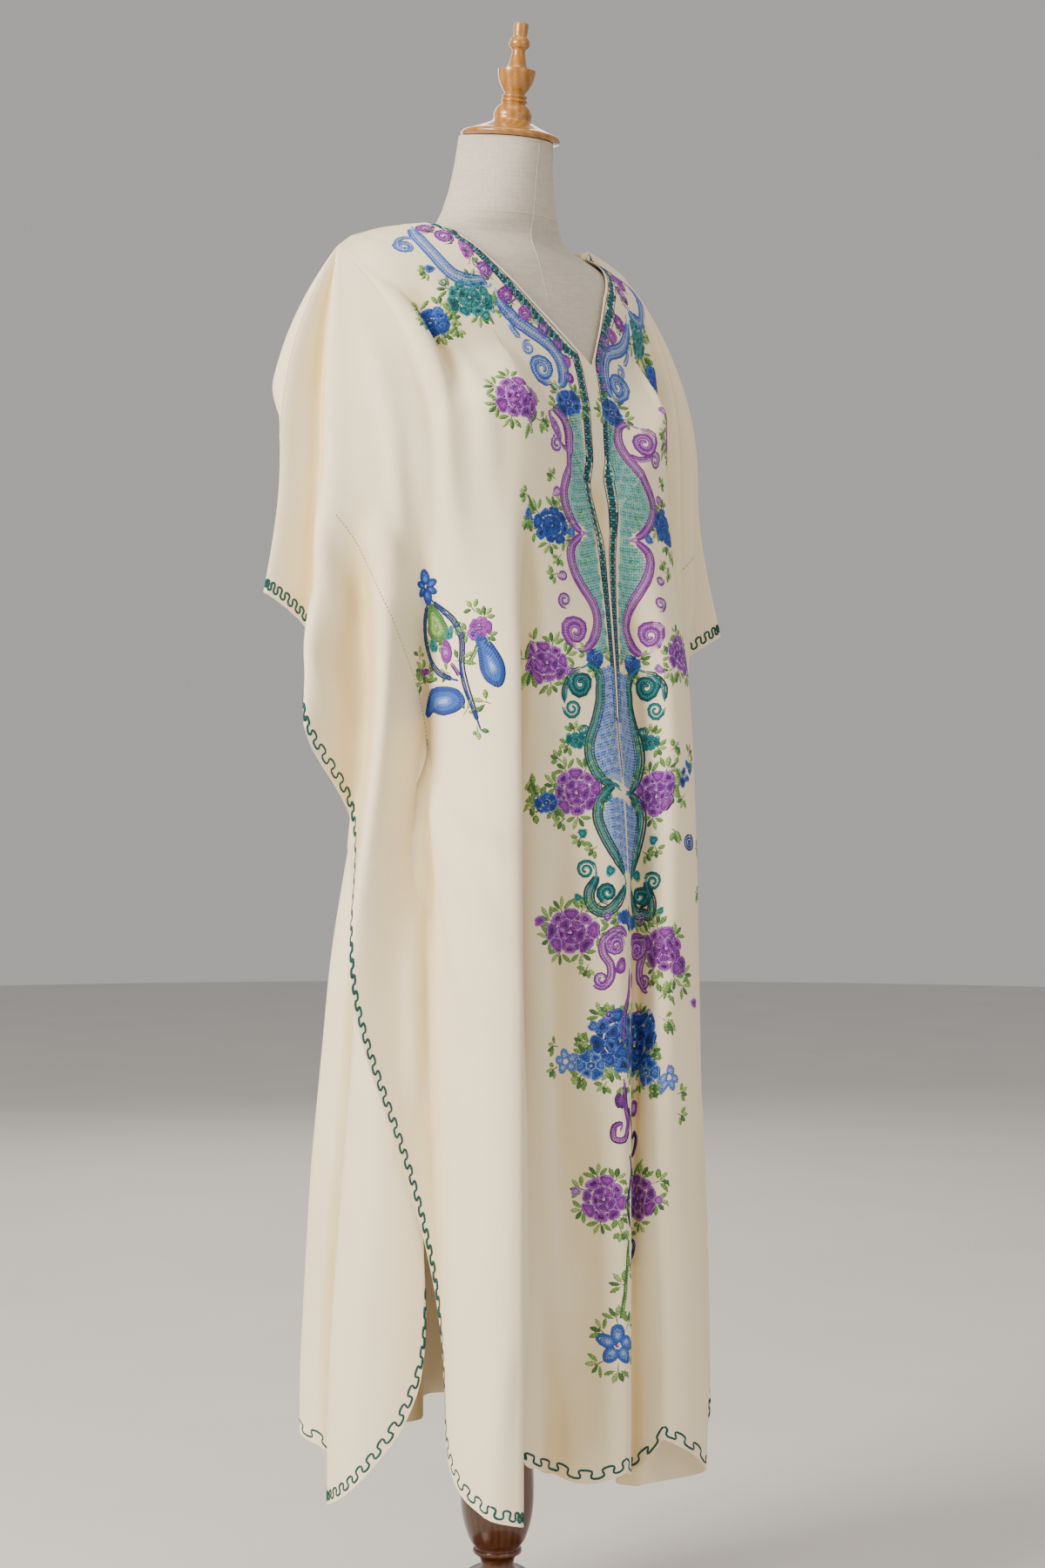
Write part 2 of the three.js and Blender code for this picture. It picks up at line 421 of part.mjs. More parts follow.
function panel(face, per) {
  const { cols, grid } = panelGrid(face, per);
  const n = cols.length, m = ROWS.length;
  const normal = (i, j) => {
    const along = sub(grid[Math.min(n - 1, i + 1)][j], grid[Math.max(0, i - 1)][j]);
    const down = sub(grid[i][Math.min(m - 1, j + 1)], grid[i][Math.max(0, j - 1)]);
    return unit(cross(along, down).map((x) => x * face));
  };
  const crest = (i) => {                 // along the shoulder both panels stand on the same line
    const t = cols[i];
    const out = t > 0 ? -1 : 1;
    if (t >= TIP.R - 1e-6 || t <= -TIP.L + 1e-6) return unit([0.72 * out, 0, 0.69]);
    return Math.abs(t) >= NECK_HALF - 1e-6 ? unit([0.3 * out, 0, 0.95]) : null;
  };
  const outer = grid.map((col, i) => col.map((p, j) => {
    let v = normal(i, j);
    if (j === 0 && crest(i)) v = crest(i);
    else if ((i === 0 || i === n - 1) && j > 0) {
      const d = sub(grid[i][Math.min(m - 1, j + 1)], grid[i][j - 1]);
      v = unit(cross(d, [0, 1, 0]));
      if ((i === 0 ? -1 : 1) * v[0] < 0) v = v.map((c) => -c);
    }
    return add(p, v, WALL);
  }));
  const pos = [], seen = new Map(), idx = [];
  const vert = (p) => {
    const key = p.map((c) => Math.round(c * 1e4)).join(',');
    if (!seen.has(key)) {
      seen.set(key, pos.length / 3);
      pos.push(...p);
    }
    return seen.get(key);
  };
  const tri = (a, b, c) => {
    if (a !== b && b !== c && a !== c) idx.push(...(face < 0 ? [a, b, c] : [a, c, b]));
  };
  const quad = (a, b, c, d) => {
    tri(a, b, c);
    tri(a, c, d);
  };
  const I = grid.map((c) => c.map(vert));
  const O = outer.map((c) => c.map(vert));
  for (let i = 0; i < n - 1; i++) {
    for (let j = 0; j < m - 1; j++) {
      quad(O[i][j], O[i][j + 1], O[i + 1][j + 1], O[i + 1][j]);
      quad(I[i][j], I[i + 1][j], I[i + 1][j + 1], I[i][j + 1]);
    }
    quad(O[i][0], O[i + 1][0], I[i + 1][0], I[i][0]);
    quad(O[i][m - 1], I[i][m - 1], I[i + 1][m - 1], O[i + 1][m - 1]);
  }
  for (let j = 0; j < m - 1; j++) {
    quad(O[0][j], I[0][j], I[0][j + 1], O[0][j + 1]);
    quad(O[n - 1][j], O[n - 1][j + 1], I[n - 1][j + 1], I[n - 1][j]);
  }
  return bodyOf(pos, idx);
}
function bodyOf(pos, idx) {
  const g = new THREE.BufferGeometry();
  g.setAttribute('position', new THREE.Float32BufferAttribute(pos, 3));
  g.setIndex(idx);
  return g;
}

// ------------------------------------------------ turned pieces and the form
const around = (seg) => Array.from({ length: seg }, (_, k) => 2 * Math.PI * k / seg);
function ringsBody(rings, lowEnd, highEnd) {   // rings of points from low to high, closed at both ends
  const seg = rings[0].length, n = rings.length;
  const pos = [...rings.flat(2), ...lowEnd, ...highEnd];
  const idx = [], low = n * seg, high = low + 1, last = low - seg;
  for (let k = 0; k < seg; k++) {
    const j = (k + 1) % seg;
    for (let i = 0; i < n - 1; i++) {
      const a = i * seg + k, b = i * seg + j;
      idx.push(a, b, b + seg, a, b + seg, a + seg);
    }
    idx.push(low, j, k, high, last + k, last + j);
  }
  return bodyOf(pos, idx);
}
function turned(profile, seg, move) {
  const rings = profile.map(([r, z]) => around(seg).map((a) => move([r * Math.cos(a), r * Math.sin(a), z])));
  return ringsBody(rings, move([0, 0, profile[0][1]]), move([0, 0, profile.at(-1)[1]]));
}
const NECK_BASE = 1512;                  // the neck starts here, and leans more and more up to its cut top
function slimming(z) {                   // the linen lies this much inside the cloth's form, and more at the hip
  const covered = smooth((1518 - z) / 10);
  const hip = 1.4 * smooth((960 - z) / 60);
  const shoulder = 1.3 * smooth(1 - Math.abs(z - 1494) / 18);
  return ROOM * (covered + hip + shoulder);
}
function torso(seg) {
  const rings = TORSO.map(([z, half, front, back, power]) => around(seg).map((a) => {
    const c = Math.cos(a), s = Math.sin(a);
    const slim = slimming(z);
    const x = (half - slim) * Math.sign(c) * Math.pow(Math.abs(c), 2 / power);
    const y = ((s < 0 ? front : back) - slim) * Math.sign(s) * Math.pow(Math.abs(s), 2 / power);
    const lean = smooth((z - NECK_BASE) / (NECK_TOP.z - NECK_BASE));
    return [x, y, z + lean * Math.tan(NECK_TILT) * (y - NECK_TOP.y)];
  }));
  const [z, , front, back] = TORSO[0];
  return ringsBody(rings, [0, (back - front) / 2, z], [0, NECK_TOP.y, NECK_TOP.z]);
}

// ------------------------------------------------ the part
const root = new THREE.Group();
const piece = (name, geometry, color, roughness) => {
  const mesh = new THREE.Mesh(geometry, new THREE.MeshStandardMaterial({ color, roughness, metalness: 0 }));
  mesh.name = name;
  root.add(mesh);
};
const upright = (p) => p;
const onNeck = ([x, y, z]) => {          // tipped forward with the neck
  const c = Math.cos(NECK_TILT), s = Math.sin(NECK_TILT);
  return [x, NECK_TOP.y + y * c - z * s, NECK_TOP.z + CAP_GAP + y * s + z * c];
};
piece('front_panel', panel(-1, 2), 0xefe9dc, 0.75);
piece('back_panel', panel(1, 2), 0xece5d6, 0.75);
piece('torso', torso(FORM_SIDES), 0xcfc8be, 0.9);
piece('neck_finial', turned(CAP, TURNED_SIDES, onNeck), 0xc8954f, 0.35);
piece('pole', turned(POLE, TURNED_SIDES, upright), 0x74431e, 0.4);
piece('base', turned(BASE, BASE_SIDES, upright), 0x74431e, 0.4);

export default root;
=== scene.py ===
import bpy
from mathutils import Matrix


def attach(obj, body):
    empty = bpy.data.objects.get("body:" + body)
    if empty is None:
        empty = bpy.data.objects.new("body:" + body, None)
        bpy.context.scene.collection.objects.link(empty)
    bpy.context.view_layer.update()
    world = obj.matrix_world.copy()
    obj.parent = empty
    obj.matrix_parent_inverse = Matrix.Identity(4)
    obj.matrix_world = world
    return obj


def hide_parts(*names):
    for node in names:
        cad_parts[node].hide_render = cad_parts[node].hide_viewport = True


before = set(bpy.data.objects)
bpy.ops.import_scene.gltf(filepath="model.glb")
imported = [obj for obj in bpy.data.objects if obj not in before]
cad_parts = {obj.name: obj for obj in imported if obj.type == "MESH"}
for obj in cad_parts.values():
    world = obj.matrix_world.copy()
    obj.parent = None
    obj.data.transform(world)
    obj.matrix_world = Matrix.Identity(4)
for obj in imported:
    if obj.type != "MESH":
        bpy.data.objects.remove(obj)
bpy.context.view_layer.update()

import bpy
import numpy as np
from math import radians, degrees, sin, cos, pi
from mathutils import Matrix, Vector

# ------------------------------------------------------------------ camera
# Level with the form's hips, off to the wearer's right front, and far enough away that the upright
# folds stay upright.
AZIMUTH, EYE, AWAY = radians(-40), 0.925, 2.6
camera = bpy.data.objects.new("camera", bpy.data.cameras.new("camera"))
bpy.context.collection.objects.link(camera)
camera.location = (sin(AZIMUTH) * AWAY, -cos(AZIMUTH) * AWAY, EYE)
camera.rotation_euler = (radians(90), 0, AZIMUTH)
camera.data.lens = 56.52
camera.data.shift_x = 0.0161
bpy.context.scene.camera = camera

# ------------------------------------------------------------------ the kaftan's cloth
# Front and back are each one piece of fine ivory crepe, sleeve and body in one, sewn along the shoulders
# and along two slanted side lines. A place on the cloth is flat u, v in millimetres: u from the centre
# line towards the wearer's right, v down from the shoulder line.
MM = 0.001
NECK_HALF, V_DEPTH, NAPE_DEPTH = 110, 170, 22     # the neck: half width, depth in front, depth behind
CLEAR = 2.0                                       # cloth over the linen
SEAM_SPACE = 0.2                                  # half the space between two pieces
SIDE_SPACE = 2.0                                  # between the layers along the side stitch lines
TIP_R, TIP_L = 222, 186                           # from the centre to each shoulder tip
FOLD_R, FOLD_L = 582, -546                        # place of the two sleeve folds
CHEST_LAY = 60                                    # how far in from a tip the cloth comes to lie on the chest
SOFT_TURN = 6                                     # how softly the folds turn
PER_DEGREE = 4                                    # sleeve places for each degree round its tip

# the form under the cloth: height, half width, front, back, roundness
FORM = np.array([
    (795, 150, 84, 92, 2.3), (803, 158, 91, 99, 2.3), (860, 167, 97, 111, 2.3), (930, 160, 92, 108, 2.3),
    (1000, 138, 84, 90, 2.3), (1080, 118, 80, 72, 2.3), (1150, 126, 94, 76, 2.3), (1215, 142, 118, 86, 2.3),
    (1255, 150, 124, 92, 2.3), (1310, 157, 116, 98, 2.3), (1360, 168, 102, 100, 2.3),
    (1400, 182, 92, 98, 2.25), (1430, 193, 83, 92, 2.1), (1448, 197, 77, 86, 1.9),
    (1462, 191, 72, 79, 1.65), (1472, 179, 69, 74, 1.45), (1481, 162, 66, 70, 1.3),
    (1489, 139, 63, 67, 1.25), (1496, 113, 61, 64, 1.3), (1503, 90, 60, 61, 1.55), (1512, 73, 60, 57, 1.9),
    (1525, 63, 60.5, 50, 2.1), (1545, 56, 62, 42, 2.1), (1572, 51, 65, 32, 2.1), (1599, 48, 69, 25, 2.1)])
# the shoulder line: flat u, then where it lies
SHOULDER = np.array([
    (222, -204, 5, 1465), (205, -188, 5, 1477), (168, -152, 4, 1490), (135, -120, 3, 1498),
    (110, -95, 2, 1503), (0, 18, 1, 1506), (-110, 130, 0, 1504), (-135, 154, 0, 1496), (-160, 180, 1, 1485),
    (-186, 203, 2, 1468)])
# the edge of the V on the chest: flat u, x, z
VEE = np.array([
    (110, -95, 1503), (92, -85, 1487), (70, -66, 1459), (40, -20, 1411), (0, 40, 1357), (-12, 48, 1371),
    (-60, 82, 1436), (-92, 118, 1483), (-110, 130, 1504)])
# the flat outline from sleeve edge to hem, and the side stitch line from top to bottom: u, v
EDGE = [(584, 0), (584, 400), (574, 560), (547, 740), (503, 920), (458, 1080), (426, 1170), (386, 1238),
        (330, 1282), (250, 1300), (120, 1304), (0, 1298)]
STITCH_LINE = [(409, 208), (332, 518)]
FRONT_FOLDS = {
    'sleeve fold R': [582, -262, 24,  582, -284, 50,  582, -284, 50,  582, -284, 50],
    'sleeve valley R': [486, -222, 10,  486, -226, 26,  486, -226, 26,  486, -226, 26],
    'wing ridge 1 R': [410, -236, -20,  410, -253, -7,  410, -250, -5,  410, -250, -5],
    'wing valley 2 R': [360, -218, -40,  370, -192, -14,  370, -204, -4,  370, -204, -4],
    'wing ridge 2 R': [300, -196, -62,  332, -199, -62,  330, -217, -28,  330, -215, -28],
    'side valley R': [240, -170, -86,  270, -135, -50,  270, -134, -59,  262, -131, -80],
    'tip R': [222, -159, -94,  246, -136, -70,  261, -142, -84,  257, -144, -92],
    'ridge 3 left': [200, -148, -102,  238, -139, -92,  254, -147, -112,  253, -158, -110],
    'ridge 3 mid': [160, -120, -122,  214, -126, -134,  241, -145, -158,  241, -162, -175],
    'ridge 3 edge': [125, -92, -137,  180, -102, -156,  230, -122, -182,  233, -136, -200],
    'valley 34': [110, -78, -140,  138, -84, -122,  160, -90, -96,  165, -106, -84],
    'panel 4': [84, -52, -140,  98, -62, -144,  104, -72, -134,  110, -79, -132],
    'valley 4': [50, -22, -138,  58, -34, -154,  62, -44, -145,  72, -48, -142],
    'centre ridge': [-2, 22, -133,  -2, 14, -164,  -2, 8, -186,  -2, 7, -193],
    'recess': [-34, 54, -137,  -44, 58, -150,  -54, 54, -154,  -58, 46, -152],
    'ridge 5 left': [-68, 90, -134,  -92, 80, -180,  -104, 70, -190,  -108, 66, -192],
    'ridge 5 edge': [-110, 128, -122,  -140, 128, -158,  -158, 122, -178,  -162, 118, -190],
    'valley 5': [-150, 152, -92,  -186, 122, -100,  -204, 88, -96,  -202, 78, -92],
    'ridge 6': [-186, 164, -72,  -208, 158, -92,  -235, 190, -110,  -226, 206, -122],
    'side valley L': [-236, 184, -42,  -237, 142, -38,  -259, 144, -46,  -246, 140, -60],
    'wing ridge 7 L': [-300, 206, -64,  -298, 212, -62,  -300, 214, -44,  -300, 214, -44],
    'wing valley 7 L': [-338, 212, -42,  -338, 198, -26,  -338, 202, -20,  -338, 202, -20],
    'wing ridge 8 L': [-374, 242, -50,  -374, 246, -34,  -374, 246, -34,  -374, 246, -34],
    'sleeve valley L': [-450, 234, -12,  -450, 242, 2,  -450, 242, 2,  -450, 242, 2],
    'sleeve fold L': [-546, 276, -20,  -546, 310, -42,  -546, 310, -42,  -546, 310, -42],
}
BACK_FOLDS = {
    'sleeve fold R': [582, -262, 24,  582, -273, 37,  582, -284, 50,  582, -284, 50,  582, -284, 50],
    'sleeve back R': [530, -262, 48,  530, -266, 50,  530, -268, 54,  530, -268, 54,  530, -268, 54],
    'sleeve valley R': [474, -246, 58,  474, -213, 32,  474, -214, 38,  474, -214, 38,  474, -214, 38],
    'wing back 1 R': [410, -228, 64,  410, -237, -1,  410, -243, 5,  410, -241, 8,  410, -241, 8],
    'wing back 15 R': [370, -216, 67,  370, -198, -15,  370, -182, -4,  370, -192, 8,  370, -192, 8],
    'wing back 2 R': [320, -200, 68,  332, -184, -38,  332, -184, -40,  330, -207, -15,  330, -205, -14],
    'side valley R': [266, -184, 70,  270, -174, -18,  272, -142, -38,  270, -141, -46,  262, -142, -62],
    'back ridge 0 R': [246, -172, 72,  250, -164, 10,  254, -152, -8,  254, -168, -26,  252, -186, -36],
    'back ridge B R': [222, -156, 74,  230, -154, 34,  234, -150, 24,  234, -170, 16,  234, -205, 18],
    'back valley BA': [166, -122, 84,  172, -136, 62,  178, -138, 48,  178, -152, 52,  178, -166, 66],
    'back ridge A R': [110, -86, 93,  122, -108, 82,  135, -118, 72,  135, -150, 92,  135, -164, 128],
    'back valley A R': [74, -58, 97,  80, -72, 92,  88, -92, 86,  88, -100, 104,  88, -98, 122],
    'back ridge C R': [38, -30, 99,  40, -36, 98,  42, -54, 102,  42, -62, 142,  42, -54, 186],
    'back valley C': [-2, 2, 100,  -2, 0, 96,  -2, -6, 94,  -2, -6, 114,  -2, -4, 128],
    'back ridge C L': [-42, 36, 99,  -44, 38, 98,  -46, 46, 102,  -46, 52, 142,  -46, 52, 188],
    'back valley A L': [-76, 66, 97,  -82, 72, 92,  -90, 90, 84,  -90, 98, 104,  -90, 100, 120],
    'back ridge A L': [-110, 100, 91,  -122, 112, 82,  -134, 122, 68,  -134, 150, 92,  -134, 166, 126],
    'back valley BA L': [-150, 138, 80,  -160, 142, 60,  -172, 138, 42,  -172, 152, 52,  -172, 168, 66],
    'back ridge B L': [-186, 164, 70,  -190, 158, 34,  -198, 150, 18,  -198, 170, 20,  -198, 206, 20],
    'back ridge 0 L': [-206, 178, 62,  -214, 168, 12,  -222, 152, -4,  -226, 168, -16,  -220, 188, -28],
    'side valley L': [-232, 192, 54,  -236, 178, -4,  -242, 148, -26,  -259, 150, -34,  -246, 148, -46],
    'wing back 2 L': [-290, 212, 45,  -298, 196, -34,  -298, 200, -32,  -300, 205, -30,  -300, 205, -30],
    'wing back 15 L': [-338, 228, 40,  -338, 197, -22,  -338, 188, -13,  -338, 190, -8,  -338, 190, -8],
    'wing back 1 L': [-374, 240, 34,  -374, 236, -28,  -374, 238, -20,  -374, 238, -20,  -374, 238, -20],
    'sleeve valley L': [-440, 256, 26,  -440, 228, 10,  -440, 230, 15,  -440, 230, 15,  -440, 230, 15],
    'sleeve back L': [-496, 270, 12,  -496, 276, -2,  -496, 284, -6,  -496, 284, -6,  -496, 284, -6],
    'sleeve fold L': [-546, 276, -20,  -546, 293, -31,  -546, 310, -42,  -546, 310, -42,  -546, 310, -42],
}
FRONT_LEVELS = [1250, 1000, 700, 250]
BACK_LEVELS = [1250, 1130, 1000, 700, 250]
LEVELS = {-1: FRONT_LEVELS, 1: BACK_LEVELS}
FOLDS = {face: np.array(list(rows.values()), float).reshape(len(rows), -1, 3)
         for face, rows in ((-1, FRONT_FOLDS), (1, BACK_FOLDS))}


def ease(x):
    c = np.clip(x, 0, 1)
    return c * c * (3 - 2 * c)


def read_down(rows, u):
    """A table whose first column falls, read at u."""
    return [np.interp(u, rows[::-1, 0], rows[::-1, k]) for k in range(1, rows.shape[1])]


def ring_at(z):
    return [np.interp(z, FORM[:, 0], FORM[:, k]) for k in range(1, 5)]


def form_out(x, z, face):
    """How far the form stands out, forward or back, at x and z."""
    half, front, back, power = ring_at(z)
    depth = front if face < 0 else back
    q = np.minimum(0.999, abs(x) / half)
    return np.where(abs(x) >= half, 0, depth * (1 - q ** power) ** (1 / power))


def off_the_form(face, x, y, z, clear):
    """Moves a point out to clear the form: from the axis at the body, forward or back on the shoulders."""
    half, front, back, power = ring_at(z)
    far = np.hypot(x, y) + 1e-9
    share = (abs(x / far) / half) ** power + (abs(y / far) / np.where(y < 0, front, back)) ** power
    reach = np.where(z > FORM[0, 0], share ** (-1 / power), 0)
    reach = np.maximum(reach + clear, np.where(z < 900, 62, 0))
    k = np.maximum(1, reach / far)
    stand = form_out(x, z, face)
    edge = face * (stand + clear)
    ahead = np.where(stand == 0, y, np.minimum(y, edge) if face < 0 else np.maximum(y, edge))
    high = ease((z - 1320) / 90)
    return x * k + (x - x * k) * high, y * k + (ahead - y * k) * high


def smooth_outline():
    P, out = np.array(EDGE, float), []
    for i in range(len(P) - 1):
        a, b, c, d = (P[np.clip(k, 0, len(P) - 1)] for k in range(i - 1, i + 3))
        for w in np.arange(12) / 12:
            out.append(0.5 * (2 * b + (c - a) * w + (2 * a - 5 * b + 4 * c - d) * w ** 2
                              + (3 * b - a - 3 * c + d) * w ** 3))
    return np.array(out + [P[-1]])


OUTLINE = smooth_outline()


def fold_rows(face, z):
    """Place, x and y of every fold line at the heights z."""
    levels, P = np.array(LEVELS[face], float), FOLDS[face]
    n = len(levels) - 1
    zc = np.clip(z, levels[-1], levels[0])
    i = np.clip(np.searchsorted(-levels, -zc, side='right') - 1, 0, n - 1)
    h = (levels[i] - levels[i + 1])
    w = (levels[i] - zc) / h
    weight = np.zeros((len(zc), n + 1))
    at = np.arange(len(zc))
    weight[at, i] += 2 * w ** 3 - 3 * w ** 2 + 1
    weight[at, i + 1] += 3 * w ** 2 - 2 * w ** 3
    for j, slope in ((i, w ** 3 - 2 * w ** 2 + w), (i + 1, w ** 3 - w ** 2)):
        inner = (j > 0) & (j < n)
        lo, hi = np.maximum(j - 1, 0), np.minimum(j + 1, n)
        k = np.where(inner, slope * h / (levels[lo] - levels[hi]), 0)
        weight[at, hi] += k
        weight[at, lo] -= k
    return np.einsum('zl,rlc->zrc', weight, P)


def raw_plan(face, t, z):
    rows, other = fold_rows(face, z), fold_rows(-face, z)
    rows = np.concatenate([other[:, 1:2], rows, other[:, -2:-1]], axis=1)   # the fold goes on round
    n, at = rows.shape[1] - 2, np.arange(len(t))
    i = 1 + (rows[:, 2:n, 0] > t[:, None]).sum(axis=1)
    P = [rows[at, i + k] for k in range(-1, 3)]
    w = np.clip((P[1][:, 0] - t) / (P[1][:, 0] - P[2][:, 0]), 0, 1)[:, None]
    P = [p[:, 1:] for p in P]

    def gap(a, b):
        return np.maximum(1e-3, np.sqrt(np.hypot(*(a - b).T)))[:, None]

    def mix(a, b, ta, tb, x):
        return (a * (tb - x) + b * (x - ta)) / (tb - ta)

    t1 = gap(P[0], P[1])
    t2 = t1 + gap(P[1], P[2])
    t3 = t2 + gap(P[2], P[3])
    x = t1 + (t2 - t1) * w
    a, b, c = mix(P[0], P[1], 0, t1, x), mix(P[1], P[2], t1, t2, x), mix(P[2], P[3], t2, t3, x)
    return mix(mix(a, b, 0, t2, x), mix(b, c, t1, t3, x), t1, t2, x)


def fold_plan(face, t, z):
    k = np.clip(np.minimum(FOLD_R - t, t - FOLD_L) / SOFT_TURN, 0, 1) * SOFT_TURN
    return 0.25 * raw_plan(face, t - k, z) + 0.5 * raw_plan(face, t, z) + 0.25 * raw_plan(face, t + k, z)


def hang_lines(face, t, step=5.0, floor=120.0):
    """Lines down the cloth from the shoulder: start and end distance, distances along them, and points."""
    n = len(t)
    side = np.where(t > TIP_R + 1e-9, 1, np.where(t < -TIP_L - 1e-9, -1, 0))
    tip = np.where(side > 0, TIP_R, TIP_L)
    angle = np.where(side > 0, (t - TIP_R) / PER_DEGREE, (-TIP_L - t) / PER_DEGREE)
    u = np.where(side == 0, t, side * tip)
    tx, ty, tz = read_down(SHOULDER, u)
    s0 = np.zeros(n)
    s1 = np.interp(abs(t), OUTLINE[::-1, 0][:40], OUTLINE[::-1, 1][:40])
    for s in (1, -1):
        m, p = side == s, TIP_R if s > 0 else TIP_L
        ray = np.degrees(np.arctan2(OUTLINE[:, 0] - p, OUTLINE[:, 1]))
        s1[m] = np.interp(angle[m], ray[::-1], np.hypot(OUTLINE[:, 0] - p, OUTLINE[:, 1])[::-1])
    q = np.where(side == 0, 1 - abs(u) / NECK_HALF, 0)
    m = q > 0
    if face < 0:                                  # down the V on the chest
        s0[m] = V_DEPTH * q[m]
        tx[m], tz[m] = read_down(VEE, u[m])
    else:                                         # round the nape
        dip = 1 - (1 - q[m]) ** 2
        s0[m], tx[m], tz[m] = NAPE_DEPTH * dip, 18 - u[m], 1503.5 - 12 * dip
    ty[m] = face * (form_out(tx[m], tz[m], face) + CLEAR)
    ty = ty + face * SEAM_SPACE
    down = np.arange(int((tz.max() - floor) / step) + 1) * step
    z = tz[:, None] - down[None, :]
    x = down[None, :] / np.where(side == 0, 190, 214)[:, None]
    g = np.where(x >= 1, 1, 1 - (1 - np.minimum(x, 1)) ** 2.2)
    plan = fold_plan(face, np.repeat(t, len(down)), z.ravel()).reshape(n, -1, 2)
    near = np.minimum(x, 1)
    lay = np.where(side == 0, ease((np.where(t > 0, TIP_R, TIP_L) - abs(t)) / CHEST_LAY), 0)[:, None]
    gy = g + (near ** 2 * (1.6 - 0.6 * near ** 2) - g) * lay
    px, py = tx[:, None] + (plan[..., 0] - tx[:, None]) * g, ty[:, None] + (plan[..., 1] - ty[:, None]) * gy
    cx, cy = off_the_form(face, px, py, z, CLEAR * ease(down[None, :] / 30 + 0.35))
    cx[:, 0], cy[:, 0] = px[:, 0], py[:, 0]
    P = np.stack([cx, cy, z], axis=-1)
    along = s0[:, None] + np.concatenate(
        [np.zeros((n, 1)), np.cumsum(np.linalg.norm(np.diff(P, axis=1), axis=-1), axis=1)], axis=1)
    return s0, s1, along, P


def read_lines(along, P, s):
    """Points at the distances s (one row of s for each hang line)."""
    return np.stack([[np.interp(s[i], along[i], P[i, :, k]) for i in range(len(s))] for k in range(3)],
                    axis=-1)


# how far the back is held to the front: along the stitch lines, and the two layers of the sleeve outside them
BEHIND_R, BEHIND_L = np.array([0.86, 0.51, 0]), np.array([-0.616, 0.788, 0])


def held_to_front(t, s):
    k, d = np.zeros_like(s), np.zeros_like(s)
    for right, tip, fold in ((True, TIP_R, FOLD_R), (False, TIP_L, -FOLD_L)):
        c = np.linspace(0, 1, 60)
        top, low = np.array(STITCH_LINE, float)
        line = top + (low - top) * c[:, None]
        reach = np.hypot(line[:, 0] - tip, line[:, 1])
        place = tip + PER_DEGREE * np.degrees(np.arctan2(line[:, 0] - tip, line[:, 1]))
        at_line = np.interp(s, reach, place)
        arc = s * np.radians(1 / PER_DEGREE)
        q = abs(t)
        out = np.where(q > tip, (q - at_line) * arc, (tip - at_line) * arc - (tip - q))
        away = np.hypot(out, np.maximum(0, np.maximum(reach[0] - s, s - reach[-1])))
        hold = ease((s - reach[0] + 130) / 100) * (1 - ease((s - reach[-1] - 10) / 120))
        hold = hold * np.where(out >= 0, 1, np.exp(-(out / 42) ** 2))
        space = np.maximum(4 * SEAM_SPACE,
                           (SIDE_SPACE + 0.5 * np.minimum(away, 50)) * ease((fold - q) / 40 + 0.02))
        m = (t > 0) == right
        k[m], d[m] = hold[m], space[m]
    return k, d


def cloth_grid(face, places, rows):
    """The cloth's inner face on a grid: columns at the places, rows from the top edge to the hem."""
    s0, s1, along, P = hang_lines(face, places)
    s = s0[:, None] + (s1 - s0)[:, None] * rows[None, :]
    G = read_lines(along, P, s)
    if face > 0:
        _, _, f_along, FP = hang_lines(-1, places)
        k, d = held_to_front(np.repeat(places[:, None], len(rows), 1), s)
        way = np.where((places > 0)[:, None, None], BEHIND_R, BEHIND_L)
        goal = read_lines(f_along, FP, s) + way * d[..., None]
        G = G + (goal - G) * k[..., None]
        x, y = off_the_form(1, G[..., 0], G[..., 1], G[..., 2], CLEAR + 5 * k)
        m = (k > 0.002) & (G[..., 2] < 1320)
        G[..., 0], G[..., 1] = np.where(m, x, G[..., 0]), np.where(m, y, G[..., 1])
    return G, s0, s1, s


def beyond(t):
    """Which sleeve a place belongs to (1 right, -1 left, 0 between the shoulder tips), and that tip."""
    side = np.where(t > TIP_R + 1e-9, 1, np.where(t < -TIP_L - 1e-9, -1, 0))
    return side, np.where(t > 0, TIP_R, TIP_L)


def flat_place(t, s):
    """Flat u, v of a grid place: straight down between the tips, fanned out round each tip."""
    side, tip = beyond(t)
    angle = np.radians(np.abs(t) - tip) / PER_DEGREE
    return (np.where(side == 0, t, side * (tip + s * np.sin(angle))),
            np.where(side == 0, s, s * np.cos(angle)))


